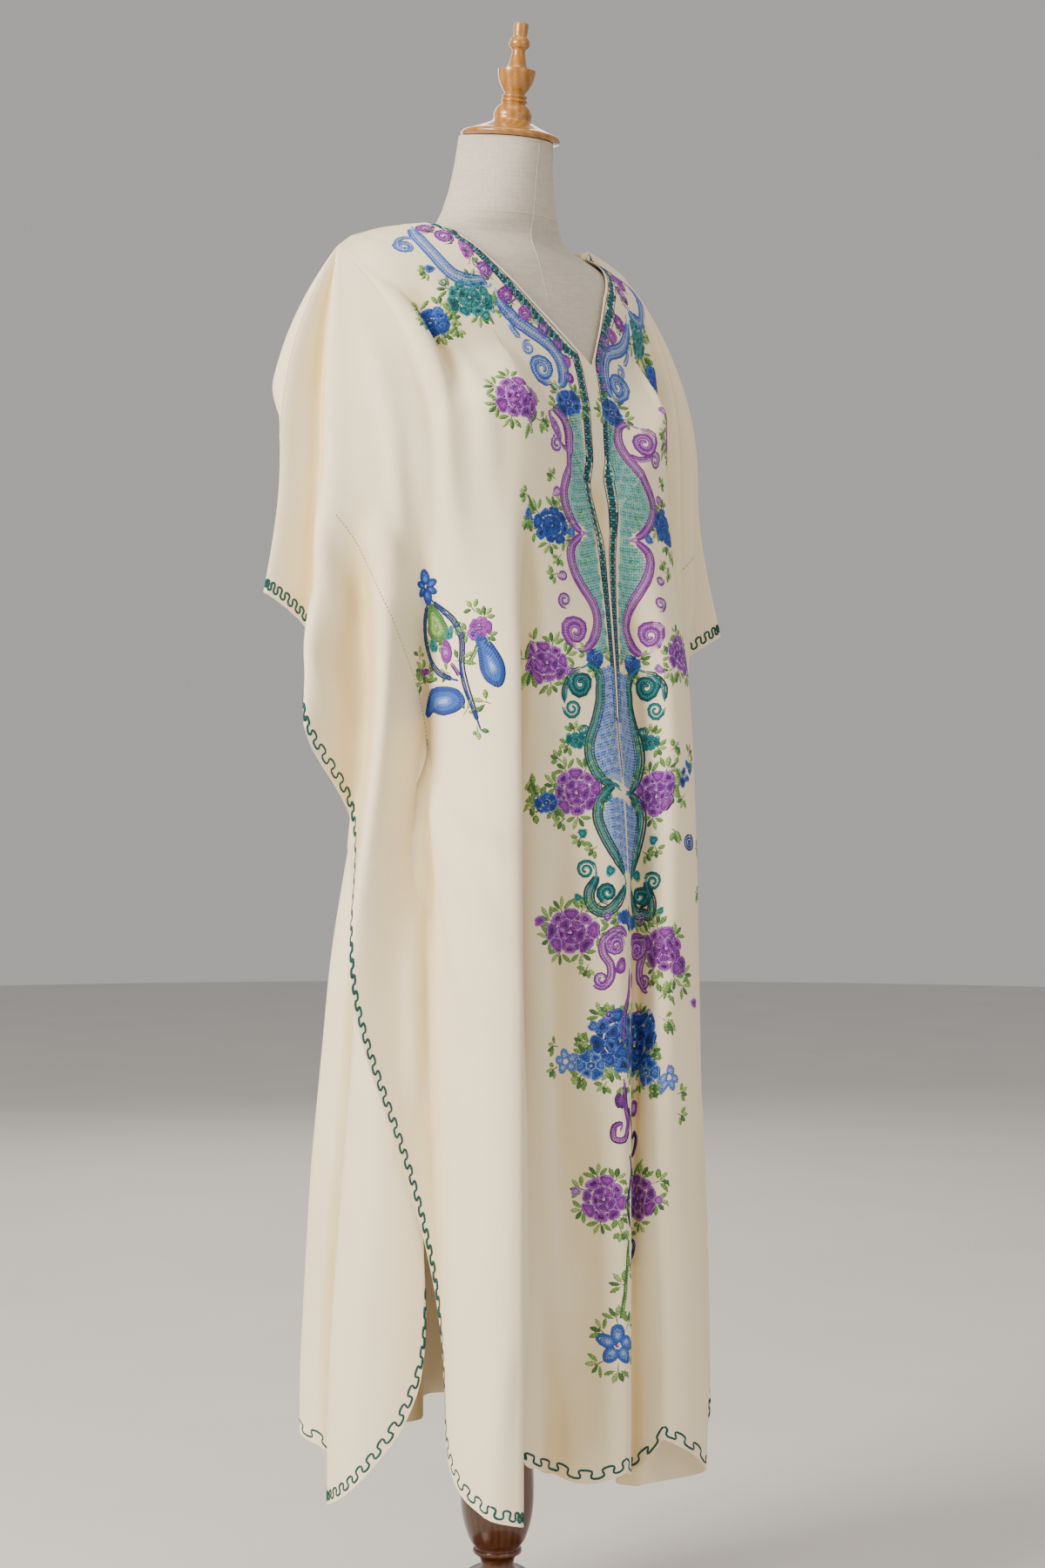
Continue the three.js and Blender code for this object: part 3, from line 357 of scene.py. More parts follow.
# soft creases besides the hanging folds: flat u, v of both ends, half width, height (a trough is below 0)
CREASES = {
    -1: [(330, 520, 250, 760, 17, 7), (322, 540, 300, 860, 20, 7), (300, 560, 200, 660, 14, 5),
         (392, 250, 300, 330, 16, 4), (380, 300, 250, 420, 15, 3.5), (350, 420, 240, 500, 12, 2.5),
         (215, 40, 190, 420, 15, 6), (168, 60, 150, 380, 13, 4), (260, 60, 300, 330, 18, 5),
         (150, 640, 170, 1180, 24, -9), (90, 700, 60, 1240, 20, 8), (200, 760, 230, 1240, 18, 9),
         (20, 820, 36, 1260, 15, -7), (-90, 700, -84, 1240, 18, 9), (-130, 260, -170, 640, 18, 4),
         (-190, 60, -230, 360, 16, 4), (-330, 520, -262, 800, 18, 5), (-300, 560, -210, 700, 14, 3.5),
         (-240, 700, -230, 1200, 22, 5), (440, 60, 470, 360, 20, 5), (520, 120, 540, 420, 16, 4),
         (420, 640, 470, 880, 22, 5), (-430, 80, -460, 360, 20, 5), (-410, 640, -450, 860, 20, 5),
         (120, 1180, 130, 1300, 12, 5), (60, 1200, 66, 1300, 11, -4), (180, 1170, 192, 1298, 12, -4),
         (-40, 1190, -44, 1300, 12, 4), (-160, 1180, -170, 1298, 13, 5), (300, 1100, 318, 1280, 14, 5)],
    1: [(330, 520, 250, 780, 18, 5), (300, 560, 200, 680, 14, 3.5), (380, 280, 250, 400, 16, 3.5),
        (215, 40, 196, 460, 16, 4), (150, 60, 140, 420, 15, 3), (260, 60, 320, 340, 18, 5),
        (150, 640, 160, 1180, 24, 6), (40, 720, 30, 1240, 22, -5), (-60, 660, -70, 1240, 22, 5),
        (90, 300, 80, 640, 18, 3), (-100, 260, -90, 620, 18, 3), (-215, 60, -240, 400, 16, 4),
        (-330, 520, -250, 800, 18, 5), (-300, 560, -200, 700, 14, 3.5), (-200, 760, -220, 1240, 20, 6),
        (460, 60, 480, 360, 20, 5), (420, 640, 470, 880, 22, 5), (-440, 80, -470, 360, 20, 5),
        (-410, 640, -450, 860, 20, 5), (100, 1180, 110, 1300, 12, 4), (-150, 1180, -160, 1298, 12, 4)]}


def creased(face, u, v):
    """Height of the soft creases at flat u, v, in millimetres."""
    h = np.zeros(np.broadcast(u, v).shape)
    for u0, v0, u1, v1, width, height in CREASES[face]:
        du, dv = u1 - u0, v1 - v0
        k = np.clip(((u - u0) * du + (v - v0) * dv) / (du * du + dv * dv), 0, 1)
        far = np.hypot(u - u0 - du * k, v - v0 - dv * k) / width
        h += height * np.exp(-far ** 2) * ease(k / 0.35) * ease((1 - k) / 0.35 if v1 < 1250 else 1)
    return h


def unit(v):
    return v / (np.linalg.norm(v, axis=-1, keepdims=True) + 1e-12)


def outward(face, G):
    """Normals of the cloth's grid, with the crest's own directions along the shoulder."""
    N = face * np.cross(np.gradient(G, axis=0), np.gradient(G, axis=1))
    side = beyond(PLACES)[0]
    N[side != 0, 0] = N[side != 0, 2]
    crest = abs(PLACES) >= NECK_HALF
    N[:, 0][crest] = np.stack([-np.sign(PLACES[crest]) * 0.4, 0.15 * face + 0 * PLACES[crest],
                               0.9 + 0 * PLACES[crest]], axis=-1)
    return unit(N)


# the grid: columns close together in the middle and near the tips, rows close together at the top
FAN = np.concatenate([np.arange(360, 120, -4.0), np.arange(120, 0, -1.6)])
PLACES = np.concatenate([TIP_R + FAN, np.linspace(222, 110, 33)[:-1], np.linspace(110, 0, 32)[:-1],
                         np.linspace(0, -110, 32)[:-1], np.linspace(-110, -186, 23), -TIP_L - FAN[::-1]])
ROWS = np.linspace(0, 1, 104)
ROWS = ROWS * (0.7 + 0.3 * ROWS)
INNER, OUTER = 0.35, 1.35                         # the two skins of the cloth, out from its inner face
CLOTH = {}
for face in (-1, 1):
    G, s0, s1, s = cloth_grid(face, PLACES, ROWS)
    U, V = flat_place(PLACES[:, None], s)
    N = outward(face, G)
    room = ease(s / 60) * ease((FOLD_R - PLACES) / 30)[:, None] * ease((PLACES - FOLD_L) / 30)[:, None]
    G = G + N * (creased(face, U, V) * room)[..., None]
    x, y = off_the_form(face, G[..., 0], G[..., 1], G[..., 2], 1.6)
    free = s > 40
    G[..., 0], G[..., 1] = np.where(free, x, G[..., 0]), np.where(free, y, G[..., 1])
    N = outward(face, G)
    CLOTH[face] = dict(G=G, N=N, s0=s0, s1=s1, U=U, V=V)


def painted_fold_shade(face):
    """Mask of the golden shade painted into the folds: 0 on a ridge and 1 deep in a fold, from how the cloth
    turns across its hang.
    """
    G, N = CLOTH[face]["G"], CLOTH[face]["N"]
    deep = np.zeros(G.shape[:2])
    for k in (4, 8, 12):
        mid = (np.roll(G, k, axis=0) + np.roll(G, -k, axis=0)) / 2 - G
        wide = np.linalg.norm(np.roll(G, k, axis=0) - np.roll(G, -k, axis=0), axis=-1) + 1
        deep += (mid * N).sum(axis=-1) / wide
    deep[:12] = deep[-12:] = 0
    for _ in range(6):
        deep[1:-1] = (deep[:-2] + 2 * deep[1:-1] + deep[2:]) / 4
        deep[:, 1:-1] = (deep[:, :-2] + 2 * deep[:, 1:-1] + deep[:, 2:]) / 4
    return np.clip(deep * 4.5, 0, 1)


def new_mesh(name, verts, faces, uv=None):
    """A mesh object from millimetres; uv is one pair for each vertex."""
    mesh = bpy.data.meshes.new(name)
    mesh.from_pydata((np.asarray(verts) * MM).tolist(), [], faces)
    if uv is not None:
        layer = mesh.uv_layers.new(name="flat")
        at = np.zeros(len(mesh.loops), np.int32)
        mesh.loops.foreach_get("vertex_index", at)
        layer.data.foreach_set("uv", np.asarray(uv, np.float32)[at].ravel())
    mesh.validate()
    piece = bpy.data.objects.new(name, mesh)
    bpy.context.collection.objects.link(piece)
    return piece


def only(piece):
    """Selects one piece and nothing else."""
    bpy.ops.object.select_all(action='DESELECT')
    piece.select_set(True)
    bpy.context.view_layer.objects.active = piece


def closed_outward(piece, angle=None):
    """Turns a closed mesh's faces outwards and smooths it, with edges sharper than the angle kept."""
    only(piece)
    bpy.ops.object.mode_set(mode='EDIT')
    bpy.ops.mesh.select_all(action='SELECT')
    bpy.ops.mesh.normals_make_consistent(inside=False)
    bpy.ops.object.mode_set(mode='OBJECT')
    if angle is None:
        bpy.ops.object.shade_smooth()
    else:
        bpy.ops.object.shade_smooth_by_angle(angle=radians(angle))


def sewn_shell(name, face):
    """The cloth as a closed shell: inner skin, outer skin and the cut edges between them."""
    G, N, U, V = (CLOTH[face][k] for k in ("G", "N", "U", "V"))
    n, m = U.shape
    index = np.arange(n * m).reshape(n, m)
    side = beyond(PLACES)[0]
    for s in (1, -1):                             # all of a sleeve's columns start in its tip
        tip = np.abs(PLACES - s * (TIP_R if s > 0 else TIP_L)).argmin()
        index[side == s, 0] = index[tip, 0]
    outer = index + n * m
    faces = []
    a, b, c, d = index[:-1, :-1], index[:-1, 1:], index[1:, 1:], index[1:, :-1]
    for sheet, turn in ((0, -face), (n * m, face)):
        q = np.stack([a, b, c, d] if turn < 0 else [d, c, b, a], axis=-1).reshape(-1, 4) + sheet
        faces += q.tolist()
    rim = np.concatenate([index[:, 0], index[-1, 1:], index[-2::-1, -1], index[0, -2:0:-1]])
    rim = rim[rim != np.roll(rim, 1)]
    after = np.roll(rim, -1)
    faces += np.stack([rim, after, after + n * m, rim + n * m], axis=-1).tolist()
    faces = [[p for k, p in enumerate(f) if p != f[k - 1]] for f in faces]
    faces = [f for f in faces if len(f) > 2]
    verts = np.concatenate([(G + INNER * N).reshape(-1, 3), (G + OUTER * N).reshape(-1, 3)])
    uv = np.concatenate([np.stack([U, V], axis=-1).reshape(-1, 2)] * 2) * MM
    used = np.unique(np.concatenate([np.array(f) for f in faces]))
    again = np.zeros(len(verts), int)
    again[used] = np.arange(len(used))
    piece = new_mesh(name, verts[used], [again[f].tolist() for f in faces], uv[used])
    # the fold mask by which golden shade is painted into the crepe's colour
    deep = np.concatenate([painted_fold_shade(face).ravel()] * 2)[used]
    layer = piece.data.attributes.new("painted_fold_shade", 'FLOAT', 'POINT')
    layer.data.foreach_set("value", deep.astype(np.float32))
    closed_outward(piece, 50)
    return piece


def linear(code):
    """An sRGB hex colour as linear RGBA."""
    c = [int(code[k:k + 2], 16) / 255 for k in (1, 3, 5)]
    return [v / 12.92 if v <= 0.04045 else ((v + 0.055) / 1.055) ** 2.4 for v in c] + [1.0]


def finish_named(name, **shader):
    """A new material, its node tree and its shader, with the shader's own settings."""
    material = bpy.data.materials.new(name)
    material.use_nodes = True
    main = material.node_tree.nodes["Principled BSDF"]
    for key, value in shader.items():
        main.inputs[key.replace("_", " ")].default_value = value
    return material, material.node_tree, main


def add(tree, kind, links=(), **settings):
    """Adds a node: settings are its properties or, for a number or name of a socket, that socket's value."""
    node = tree.nodes.new(kind)
    for key, value in settings.items():
        if hasattr(node, key):
            setattr(node, key, value)
        else:
            node.inputs[int(key[1:]) if key[1:].isdigit() else key.replace("_", " ")].default_value = value
    for source, target in links:
        tree.links.new(source, node.inputs[target])
    return node


# Fine crepe: matt, softly uneven, with golden shade painted into its folds, standing in for light that passes
# through them.
crepe, tree, main = finish_named("fine ivory crepe", Roughness=0.82, IOR=1.45, Sheen_Weight=0.18,
                                 Sheen_Roughness=0.5, Specular_IOR_Level=0.3)
main.inputs["Sheen Tint"].default_value = linear("#FFF3DC")
flat = add(tree, "ShaderNodeUVMap", uv_map="flat")
# painted shade: the fold mask, times the clouds, mixes the colour towards gold
depth = add(tree, "ShaderNodeAttribute", attribute_name="painted_fold_shade")
clouds = add(tree, "ShaderNodeTexNoise", [(flat.outputs[0], "Vector")], Scale=5.0, Detail=3.0)   # 200 mm
painted_shade_amount = add(tree, "ShaderNodeMath", [(depth.outputs["Fac"], 0), (clouds.outputs["Fac"], 1)],
           operation='MULTIPLY_ADD')
painted_shade_amount.inputs[2].default_value = 0.0
ivory = add(tree, "ShaderNodeMix", [(clouds.outputs["Fac"], "Factor")], data_type='RGBA')
ivory.inputs[6].default_value = linear("#F7ECD0")
ivory.inputs[7].default_value = linear("#EFE0BE")
# the gold of the painted shade in the folds
painted_shade_colour = add(tree, "ShaderNodeMix", [(ivory.outputs[2], 6), (painted_shade_amount.outputs[0], 0)], data_type='RGBA')
painted_shade_colour.inputs[7].default_value = linear("#D8BC78")
tree.links.new(painted_shade_colour.outputs[2], main.inputs["Base Color"])
# threads 0.35 mm apart are too fine to show, so the crepe's grain is drawn at about 1.6 mm
grain = add(tree, "ShaderNodeTexNoise", [(flat.outputs[0], "Vector")], Scale=620.0, Detail=2.0)
slub = add(tree, "ShaderNodeMapping", [(flat.outputs[0], "Vector")], Scale=(700.0, 90.0, 1.0))
slubs = add(tree, "ShaderNodeTexNoise", [(slub.outputs[0], "Vector")], Scale=1.0, Detail=1.0)
relief = add(tree, "ShaderNodeMath", [(grain.outputs["Fac"], 0), (slubs.outputs["Fac"], 1)], operation='ADD')
bump = add(tree, "ShaderNodeBump", [(relief.outputs[0], "Height")], Strength=0.22, Distance=0.0004)
tree.links.new(bump.outputs[0], main.inputs["Normal"])

for name, face, node in (("kaftan_front", -1, "front_panel"), ("kaftan_back", 1, "back_panel")):
    piece = sewn_shell(name, face)
    piece.data.materials.append(crepe)
    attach(piece, "root")
    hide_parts(node)
    CLOTH[face]["piece"] = piece


def lay_on(face, u, v):
    """Place on the outer skin and outward direction, for arrays of flat u, v."""
    c = CLOTH[face]
    tip = np.where(u > 0, TIP_R, TIP_L)
    over = np.abs(u) - tip
    t = np.where(over > 0, np.sign(u) * (tip + PER_DEGREE * np.degrees(np.arctan2(over, v))), u)
    s = np.where(over > 0, np.hypot(over, v), v)
    a = np.interp(-t, -PLACES, np.arange(len(PLACES)))
    i = np.minimum(a.astype(int), len(PLACES) - 2)
    a = a - i
    s0, s1 = (c[k][i] + (c[k][i + 1] - c[k][i]) * a for k in ("s0", "s1"))
    b = np.interp((s - s0) / (s1 - s0), ROWS, np.arange(len(ROWS)))
    j = np.minimum(b.astype(int), len(ROWS) - 2)
    a, b = a[:, None], (b - j)[:, None]

    def between(A):
        return (A[i, j] * (1 - a) * (1 - b) + A[i + 1, j] * a * (1 - b)
                + A[i, j + 1] * (1 - a) * b + A[i + 1, j + 1] * a * b)

    N = unit(between(c["N"]))
    return between(c["G"]) + N * OUTER, N


def stretch(face, u, v):
    """How the place moves for one flat millimetre across and one down, and the outward direction."""
    ends = [lay_on(face, u + du, v + dv)[0] for du, dv in ((2, 0), (-2, 0), (0, 2), (0, -2))]
    return (ends[0] - ends[1]) / 4, (ends[2] - ends[3]) / 4, lay_on(face, u, v)[1]


MOST_GATHER = 1.7                                 # the most that a flat step may outrun the real one


def flat_step(A, B, w):
    """The flat step that moves a place by the real step w, where A and B are its stretches."""
    aa, ab, bb = ((p * q).sum(axis=-1) for p, q in ((A, A), (A, B), (B, B)))
    aw, bw = (A * w).sum(axis=-1), (B * w).sum(axis=-1)
    det = np.maximum(aa * bb - ab * ab, 0.05)
    du, dv = (bb * aw - ab * bw) / det, (aa * bw - ab * aw) / det
    most = np.minimum(1, MOST_GATHER * np.linalg.norm(w, axis=-1) / np.maximum(np.hypot(du, dv), 1e-6))
    return du * most, dv * most


def thread_mesh(name, rows, width=1.9, height=0.6):
    """Chain-stitch rows (face, u, v, colour, width) as low closed ribbons with a crown, on the cloth."""
    verts, faces, uv, shade, start = [], [], [], [], 0
    for face in (-1, 1):
        mine = [r for r in rows if r[0] == face]
        if not mine:
            continue
        size = np.array([len(r[1]) for r in mine])
        u, v = (np.concatenate([r[k] for r in mine]) for k in (1, 2))
        first = np.repeat(np.cumsum(size) - size, size)
        last = first + np.repeat(size, size) - 1
        at = np.arange(len(u))
        P, N = lay_on(face, u, v)
        T = unit(P[np.minimum(at + 1, last)] - P[np.maximum(at - 1, first)])
        across = unit(np.cross(N, T))
        w = np.concatenate([np.zeros(len(r[1])) + (r[4] if np.any(r[4]) else width) for r in mine]) / 2
        ends = np.minimum(at - first, last - at)
        w = w * np.where(ends == 0, 0.55, 1)
        h = height * np.where(ends == 0, 0.5, 1)
        low = P - 0.12 * N
        verts.append(np.stack([low - across * w[:, None], low + across * w[:, None],
                               P + N * h[:, None]], axis=1).reshape(-1, 3))
        step = np.linalg.norm(P - P[np.maximum(at - 1, first)], axis=-1)
        along = np.cumsum(step)
        along = along - along[first]
        uv.append(np.stack([np.repeat(along, 3), np.tile([0, 1, 0.5], len(u))], axis=-1))
        colour = np.repeat([linear(r[3]) for r in mine], size, axis=0)
        shade.append(np.repeat(colour, 3, axis=0))
        k = start + 3 * at[at < last]
        faces += np.concatenate([np.stack([k, k + 3, k + 5, k + 2], axis=-1),
                                 np.stack([k + 1, k + 2, k + 5, k + 4], axis=-1),
                                 np.stack([k, k + 1, k + 4, k + 3], axis=-1)]).tolist()
        k = start + 3 * at[at == first]
        faces += np.stack([k, k + 2, k + 1], axis=-1).tolist()
        k = start + 3 * at[at == last]
        faces += np.stack([k, k + 1, k + 2], axis=-1).tolist()
        start += 3 * len(u)
    piece = new_mesh(name, np.concatenate(verts), faces, np.concatenate(uv))
    layer = piece.data.color_attributes.new("thread", 'FLOAT_COLOR', 'POINT')
    layer.data.foreach_set("color", np.concatenate(shade).astype(np.float32).ravel())
    only(piece)
    bpy.ops.object.shade_smooth()
    return piece


# ------------------------------------------------------------------ sewing and edge stitching
# Two slanted lines of running stitch close the body of the kaftan below the arms, and a hooked wave of
# dark teal chain stitch, 10 mm high, runs all along the cut edges.
def soft_line(points, step=2.6):
    """A soft curve through the points, read about every step."""
    P = np.array(points, float)
    P = np.vstack([2 * P[0] - P[1], P, 2 * P[-1] - P[-2]])
    out = []
    for a, b, c, d in zip(P[:-3], P[1:-2], P[2:-1], P[3:]):
        count = max(1, int(round(np.hypot(*(c - b)) / step)))
        w = (np.arange(count) / count)[:, None]
        out.append(0.5 * (2 * b + (c - a) * w + (2 * a - 5 * b + 4 * c - d) * w ** 2
                          + (3 * b - a - 3 * c + d) * w ** 3))
    return np.concatenate(out + [P[-2:-1]])


# Mercerised thread in chain stitch: soft shine, with painted shade and painted highlight along the chain:
# darker in the gap between one loop of 3 mm and the next, lighter on each loop's crown.
chain, tree, main = finish_named("mercerised chain-stitch thread", Roughness=0.55, IOR=1.45,
                                 Sheen_Weight=0.06,
                                 Specular_IOR_Level=0.35)
shade = add(tree, "ShaderNodeAttribute", attribute_name="thread")
along = add(tree, "ShaderNodeUVMap", uv_map="flat")
parts = add(tree, "ShaderNodeSeparateXYZ", [(along.outputs[0], 0)])
loops = add(tree, "ShaderNodeMath", [(parts.outputs[0], 0)], operation='MULTIPLY', _1=2 * pi / 3)
loop = add(tree, "ShaderNodeMath", [(loops.outputs[0], 0)], operation='SINE')
uneven = add(tree, "ShaderNodeTexCoord")
# the dye lies unevenly, in clouds of about 6 mm
dye = add(tree, "ShaderNodeTexNoise", [(uneven.outputs["Object"], "Vector")], Scale=160.0, Detail=2.0)
# painted shade between the loops and painted highlight on their crowns, by the same wave as the bump
gap = add(tree, "ShaderNodeMapRange", [(loop.outputs[0], 0)], _1=-1.0, _2=1.0, _3=0.72, _4=1.15)
wear = add(tree, "ShaderNodeMapRange", [(dye.outputs["Fac"], 0)], _1=0.3, _2=0.7, _3=0.86, _4=1.14)
tone = add(tree, "ShaderNodeMath", [(gap.outputs[0], 0), (wear.outputs[0], 1)], operation='MULTIPLY')
dyed = add(tree, "ShaderNodeVectorMath", [(shade.outputs["Color"], 0), (tone.outputs[0], 1)],
           operation='MULTIPLY')
bump = add(tree, "ShaderNodeBump", [(loop.outputs[0], "Height")], Strength=0.5, Distance=0.0004)
tree.links.new(dyed.outputs[0], main.inputs["Base Color"])
tree.links.new(bump.outputs[0], main.inputs["Normal"])


def sewn_on(name, rows, width=1.9, height=0.6):
    """A piece of stitching, with its finish and its place in the frame."""
    piece = thread_mesh(name, rows, width, height)
    piece.data.materials.append(chain)
    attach(piece, "root")
    for face in {r[0] for r in rows}:
        TRIM[face].append(piece)
    return piece


TRIM = {-1: [], 1: []}
TEAL_EDGE = "#134E4E"
PITCH, WAVE, FROM_EDGE, HOOK = 20.0, 9.4, 9.0, 2.7
edge = np.vstack([OUTLINE, OUTLINE[-2::-1] * [-1, 1]])
down = unit(np.gradient(edge, axis=0))
inset = edge + np.stack([-down[:, 1], down[:, 0]], axis=-1) * FROM_EDGE
run = np.concatenate([[0], np.cumsum(np.hypot(*np.diff(inset, axis=0).T))])
waves = int(run[-1] / PITCH)
theta = np.linspace(0, 2 * pi * waves, 14 * waves + 1)
x = theta / (2 * pi * waves) * run[-1] + HOOK * np.sin(2 * theta)
y = -WAVE / 2 * np.cos(theta)
side_way = [np.interp(x, run, down[:, k]) for k in (0, 1)]
hooked = [np.interp(x, run, inset[:, 0]) - side_way[1] * y, np.interp(x, run, inset[:, 1]) + side_way[0] * y]
shown = hooked[1] > 1.5
for name, face in (("edge_meander_front", -1), ("edge_meander_back", 1)):
    sewn_on(name, [(face, hooked[0][shown], hooked[1][shown], TEAL_EDGE, 0)], 2.9, 0.6)

stitches = []
(u0, v0), (u1, v1) = STITCH_LINE
for face in (-1, 1):
    for side in (1, -1):
        for k in np.arange(0, 1, 5.0 / np.hypot(u1 - u0, v1 - v0)):
            w = np.array([k, k + 0.5 * 3.4 / 320, k + 3.4 / 320])
            stitches.append((face, side * (u0 + (u1 - u0) * w), v0 + (v1 - v0) * w, "#B5A27C", 0))
sewn_on("side_stitches", stitches, 1.6, 0.5)


# ------------------------------------------------------------------ the neck borders
# Two bands of teal cells between navy lines follow the V, run down the chest with a strip of bare crepe
# between them, and close into one line at the waist. One more runs round the nape.
def middle(v):
    """How far the embroidery's centre line hangs off the cloth's own, towards the wearer's right."""
    return np.interp(v, [170, 320, 560, 630, 710, 800], [0, -9, -8, -16, -22, -25])


def placed(side, d, v):
    """Flat u, v of a place d from the embroidery's centre line; the left front has slipped down a little."""
    d, v = np.asarray(d, float), np.asarray(v, float)
    slip = np.where(side < 0, 1.5 * np.maximum(0, d - 42) * ease((v - 560) / 150), 0)
    return middle(v) + side * d, v + slip


def beside(face, u, v, off):
    """A flat line moved sideways on the cloth by real millimetres, to the right of its way down."""
    A, B, N = stretch(face, u, v)
    T = unit(A * np.gradient(u)[:, None] + B * np.gradient(v)[:, None])
    du, dv = flat_step(A, B, np.cross(N, T) * (np.zeros(len(u)) + off)[:, None])
    return u + du, v + dv


NAVY, TEAL, SEA, DEEP, WHITE = "#18265E", "#0F626A", "#2B8C92", "#0B434C", "#EFEBE0"
band, ground = [], []
INSIDE = [(110, 0.6), (80, 48), (45, 101), (16, 146), (10, 160), (8, 176), (8, 200), (8, 290), (6, 325),
          (2.4, 358), (0.7, 385), (0.7, 470), (0.7, 545)]
BAND_WIDE = ([0, 300, 357, 394, 430, 485, 545], [12.4, 12.4, 11.4, 10.2, 7.6, 6.4, 5.0])
for side in (1, -1):
    line = soft_line(INSIDE, 2.2)
    wide = np.interp(line[:, 1], *BAND_WIDE)
    u, v = middle(line[:, 1]) * (line[:, 1] > 170) + side * line[:, 0], line[:, 1]
    for share, colour, width in ((0.08, NAVY, 1.3), (0.92, NAVY, 1.3)):
        a, b = beside(-1, u, v, -side * (wide * share + 1.0))
        band.append((-1, a, b, colour, width))
    a, b = beside(-1, u, v, -side * (wide * 0.5 + 1.0))
    P = lay_on(-1, a, b)[0]
    length = np.concatenate([[0], np.cumsum(np.linalg.norm(np.diff(P, axis=0), axis=-1))])
    inner, outer = (beside(-1, u, v, -side * (wide * k + 1.0)) for k in (0.2, 0.8))
    ground.append((-1, a, b, DEEP, wide * 0.86))
    for k, at in enumerate(np.arange(3, length[-1] - 4, 6.0)):
        ends = [[np.interp(at, length, q) for q in pair] for pair in (inner, outer)]
        w = np.array([0, 0.33, 0.67, 1])
        band.append((-1, ends[0][0] + (ends[1][0] - ends[0][0]) * w,
                     ends[0][1] + (ends[1][1] - ends[0][1]) * w,
                     (SEA, TEAL)[k % 2], 4.6))
        ends = [[np.interp(at + 3, length, q) for q in pair] for pair in (inner, outer)]
        for w in (np.array([-0.02, 0.16]), np.array([0.84, 1.02])):
            band.append((-1, ends[0][0] + (ends[1][0] - ends[0][0]) * w,
                         ends[0][1] + (ends[1][1] - ends[0][1]) * w, WHITE, 2.4))
line = soft_line([(0.5, 540), (0, 560), (0, 600)], 2.2)
band.append((-1, middle(line[:, 1]) + line[:, 0], line[:, 1], NAVY, 1.5))
nape = np.linspace(108, -108, 110)
top = NAPE_DEPTH * (1 - (np.abs(nape) / NECK_HALF) ** 2)
for off, colour in ((1.8, NAVY), (10.4, NAVY)):
    band.append((1, nape, top + off, colour, 1.3))
for k, at in enumerate(np.arange(-104, 105, 6.0)):
    w = np.array([3.4, 5.2, 7.0, 8.8])
    band.append((1, np.full(4, at), np.interp(at, nape[::-1], top[::-1]) + w, (TEAL, SEA)[k % 2], 4.3))
sewn_on("neck_border_ground", ground, 8, 0.3)
sewn_on("neck_borders", band, 1.4, 0.62)

# ------------------------------------------------------------------ the embroidery
# Scrolls, flower heads, roses and sprigs worked in chain stitch, mirrored about the centre: rows of
# thread about 2.4 mm apart, each dyed its own colour, sewn down through the crepe. Places are d, v on
# the flat cloth, d out from the embroidery's centre line; sizes are real millimetres.
PURPLE, PLUM, LILAC, ORCHID = "#7A2C94", "#4E1D6E", "#AE84CE", "#9B43AE"
COBALT, BLUE, PERI, SKY = "#183C90", "#2C5CB4", "#5C7BC8", "#8CA9E0"
AQUA, FOAM = "#4BA09F", "#84C2BB"
LEAF, MOSS, LIME = "#6E9A50", "#44743C", "#95B76C"
DRAW_IN = 0.2                                     # share of a scroll over which its rows draw together
NESTED_ROWS = 0.24                                # rows in a petal or leaf for each millimetre of its reach
scrolls, flowers, leaves = [], [], []


def stroke(points, colours, side=1, into=None):
    """A scroll: side-by-side rows, one of each colour, that draw together towards both ends."""
    line = soft_line(points)
    u, v = placed(side, line[:, 0], line[:, 1])
    k = np.linspace(0, 1, len(u))
    swell = np.minimum(1, np.minimum(k, 1 - k) / DRAW_IN) ** 0.7
    for n, colour in enumerate(colours):
        off = (n - (len(colours) - 1) / 2) * (3.3 if colours is SCROLL_PERI else 2.4) * side
        keep = np.abs(off) * swell + 0.05 >= np.abs(off) * 0.45
        a, b = beside(-1, u, v, off * swell)
        if keep.sum() > 2:
            (scrolls if into is None else into).append((-1, a[keep], b[keep], colour,
                                                        3.5 if colours is SCROLL_PERI else 2.6))


def around(side, d, v, turn=0):
    """A way to place real millimetres right and down, turned clockwise, about a place of the embroidery."""
    u0, v0 = placed(side, d, v)
    A, B, N = (q[0] for q in stretch(-1, np.array([u0]), np.array([v0])))
    down = unit(B)
    right = np.cross(N, down)
    right = right * np.sign((right * A).sum()) * side
    c, s = cos(radians(turn)), sin(radians(turn))

    def at(x, y):
        x, y = np.asarray(x, float), np.asarray(y, float)
        w = (x * c - y * s)[:, None] * right + (x * s + y * c)[:, None] * down
        du, dv = flat_step(A[None], B[None], w)
        return u0 + du, v0 + dv
    return at


def shell(side, d, v, size, turn, tints, rim, wide=0.8):
    """A shell-shaped petal worked in rows one inside the other: a pale rim round two deeper tints."""
    at = around(side, d, v, turn)
    half = size * wide / 2
    P = soft_line([(0.12 * half, -0.03 * size), (0.62 * half, -0.3 * size), (half, -0.66 * size),
                   (0.62 * half, -0.95 * size),
                   (0, -0.9 * size), (-0.62 * half, -0.95 * size), (-half, -0.66 * size),
                   (-0.62 * half, -0.3 * size),
                   (-0.12 * half, -0.03 * size), (0.12 * half, -0.03 * size)], 2.6)
    rings = 2 if size < 9 else 3
    for n in range(rings):
        k = 1 - n / rings
        x, y = P[:, 0] * k, (P[:, 1] + 0.58 * size) * k - 0.58 * size
        flowers.append((-1, *at(x, y), rim if n == 0 else tints[(n - 1) % len(tints)],
                        (1.9, 0.85 * half, 0.7 * half)[n]))


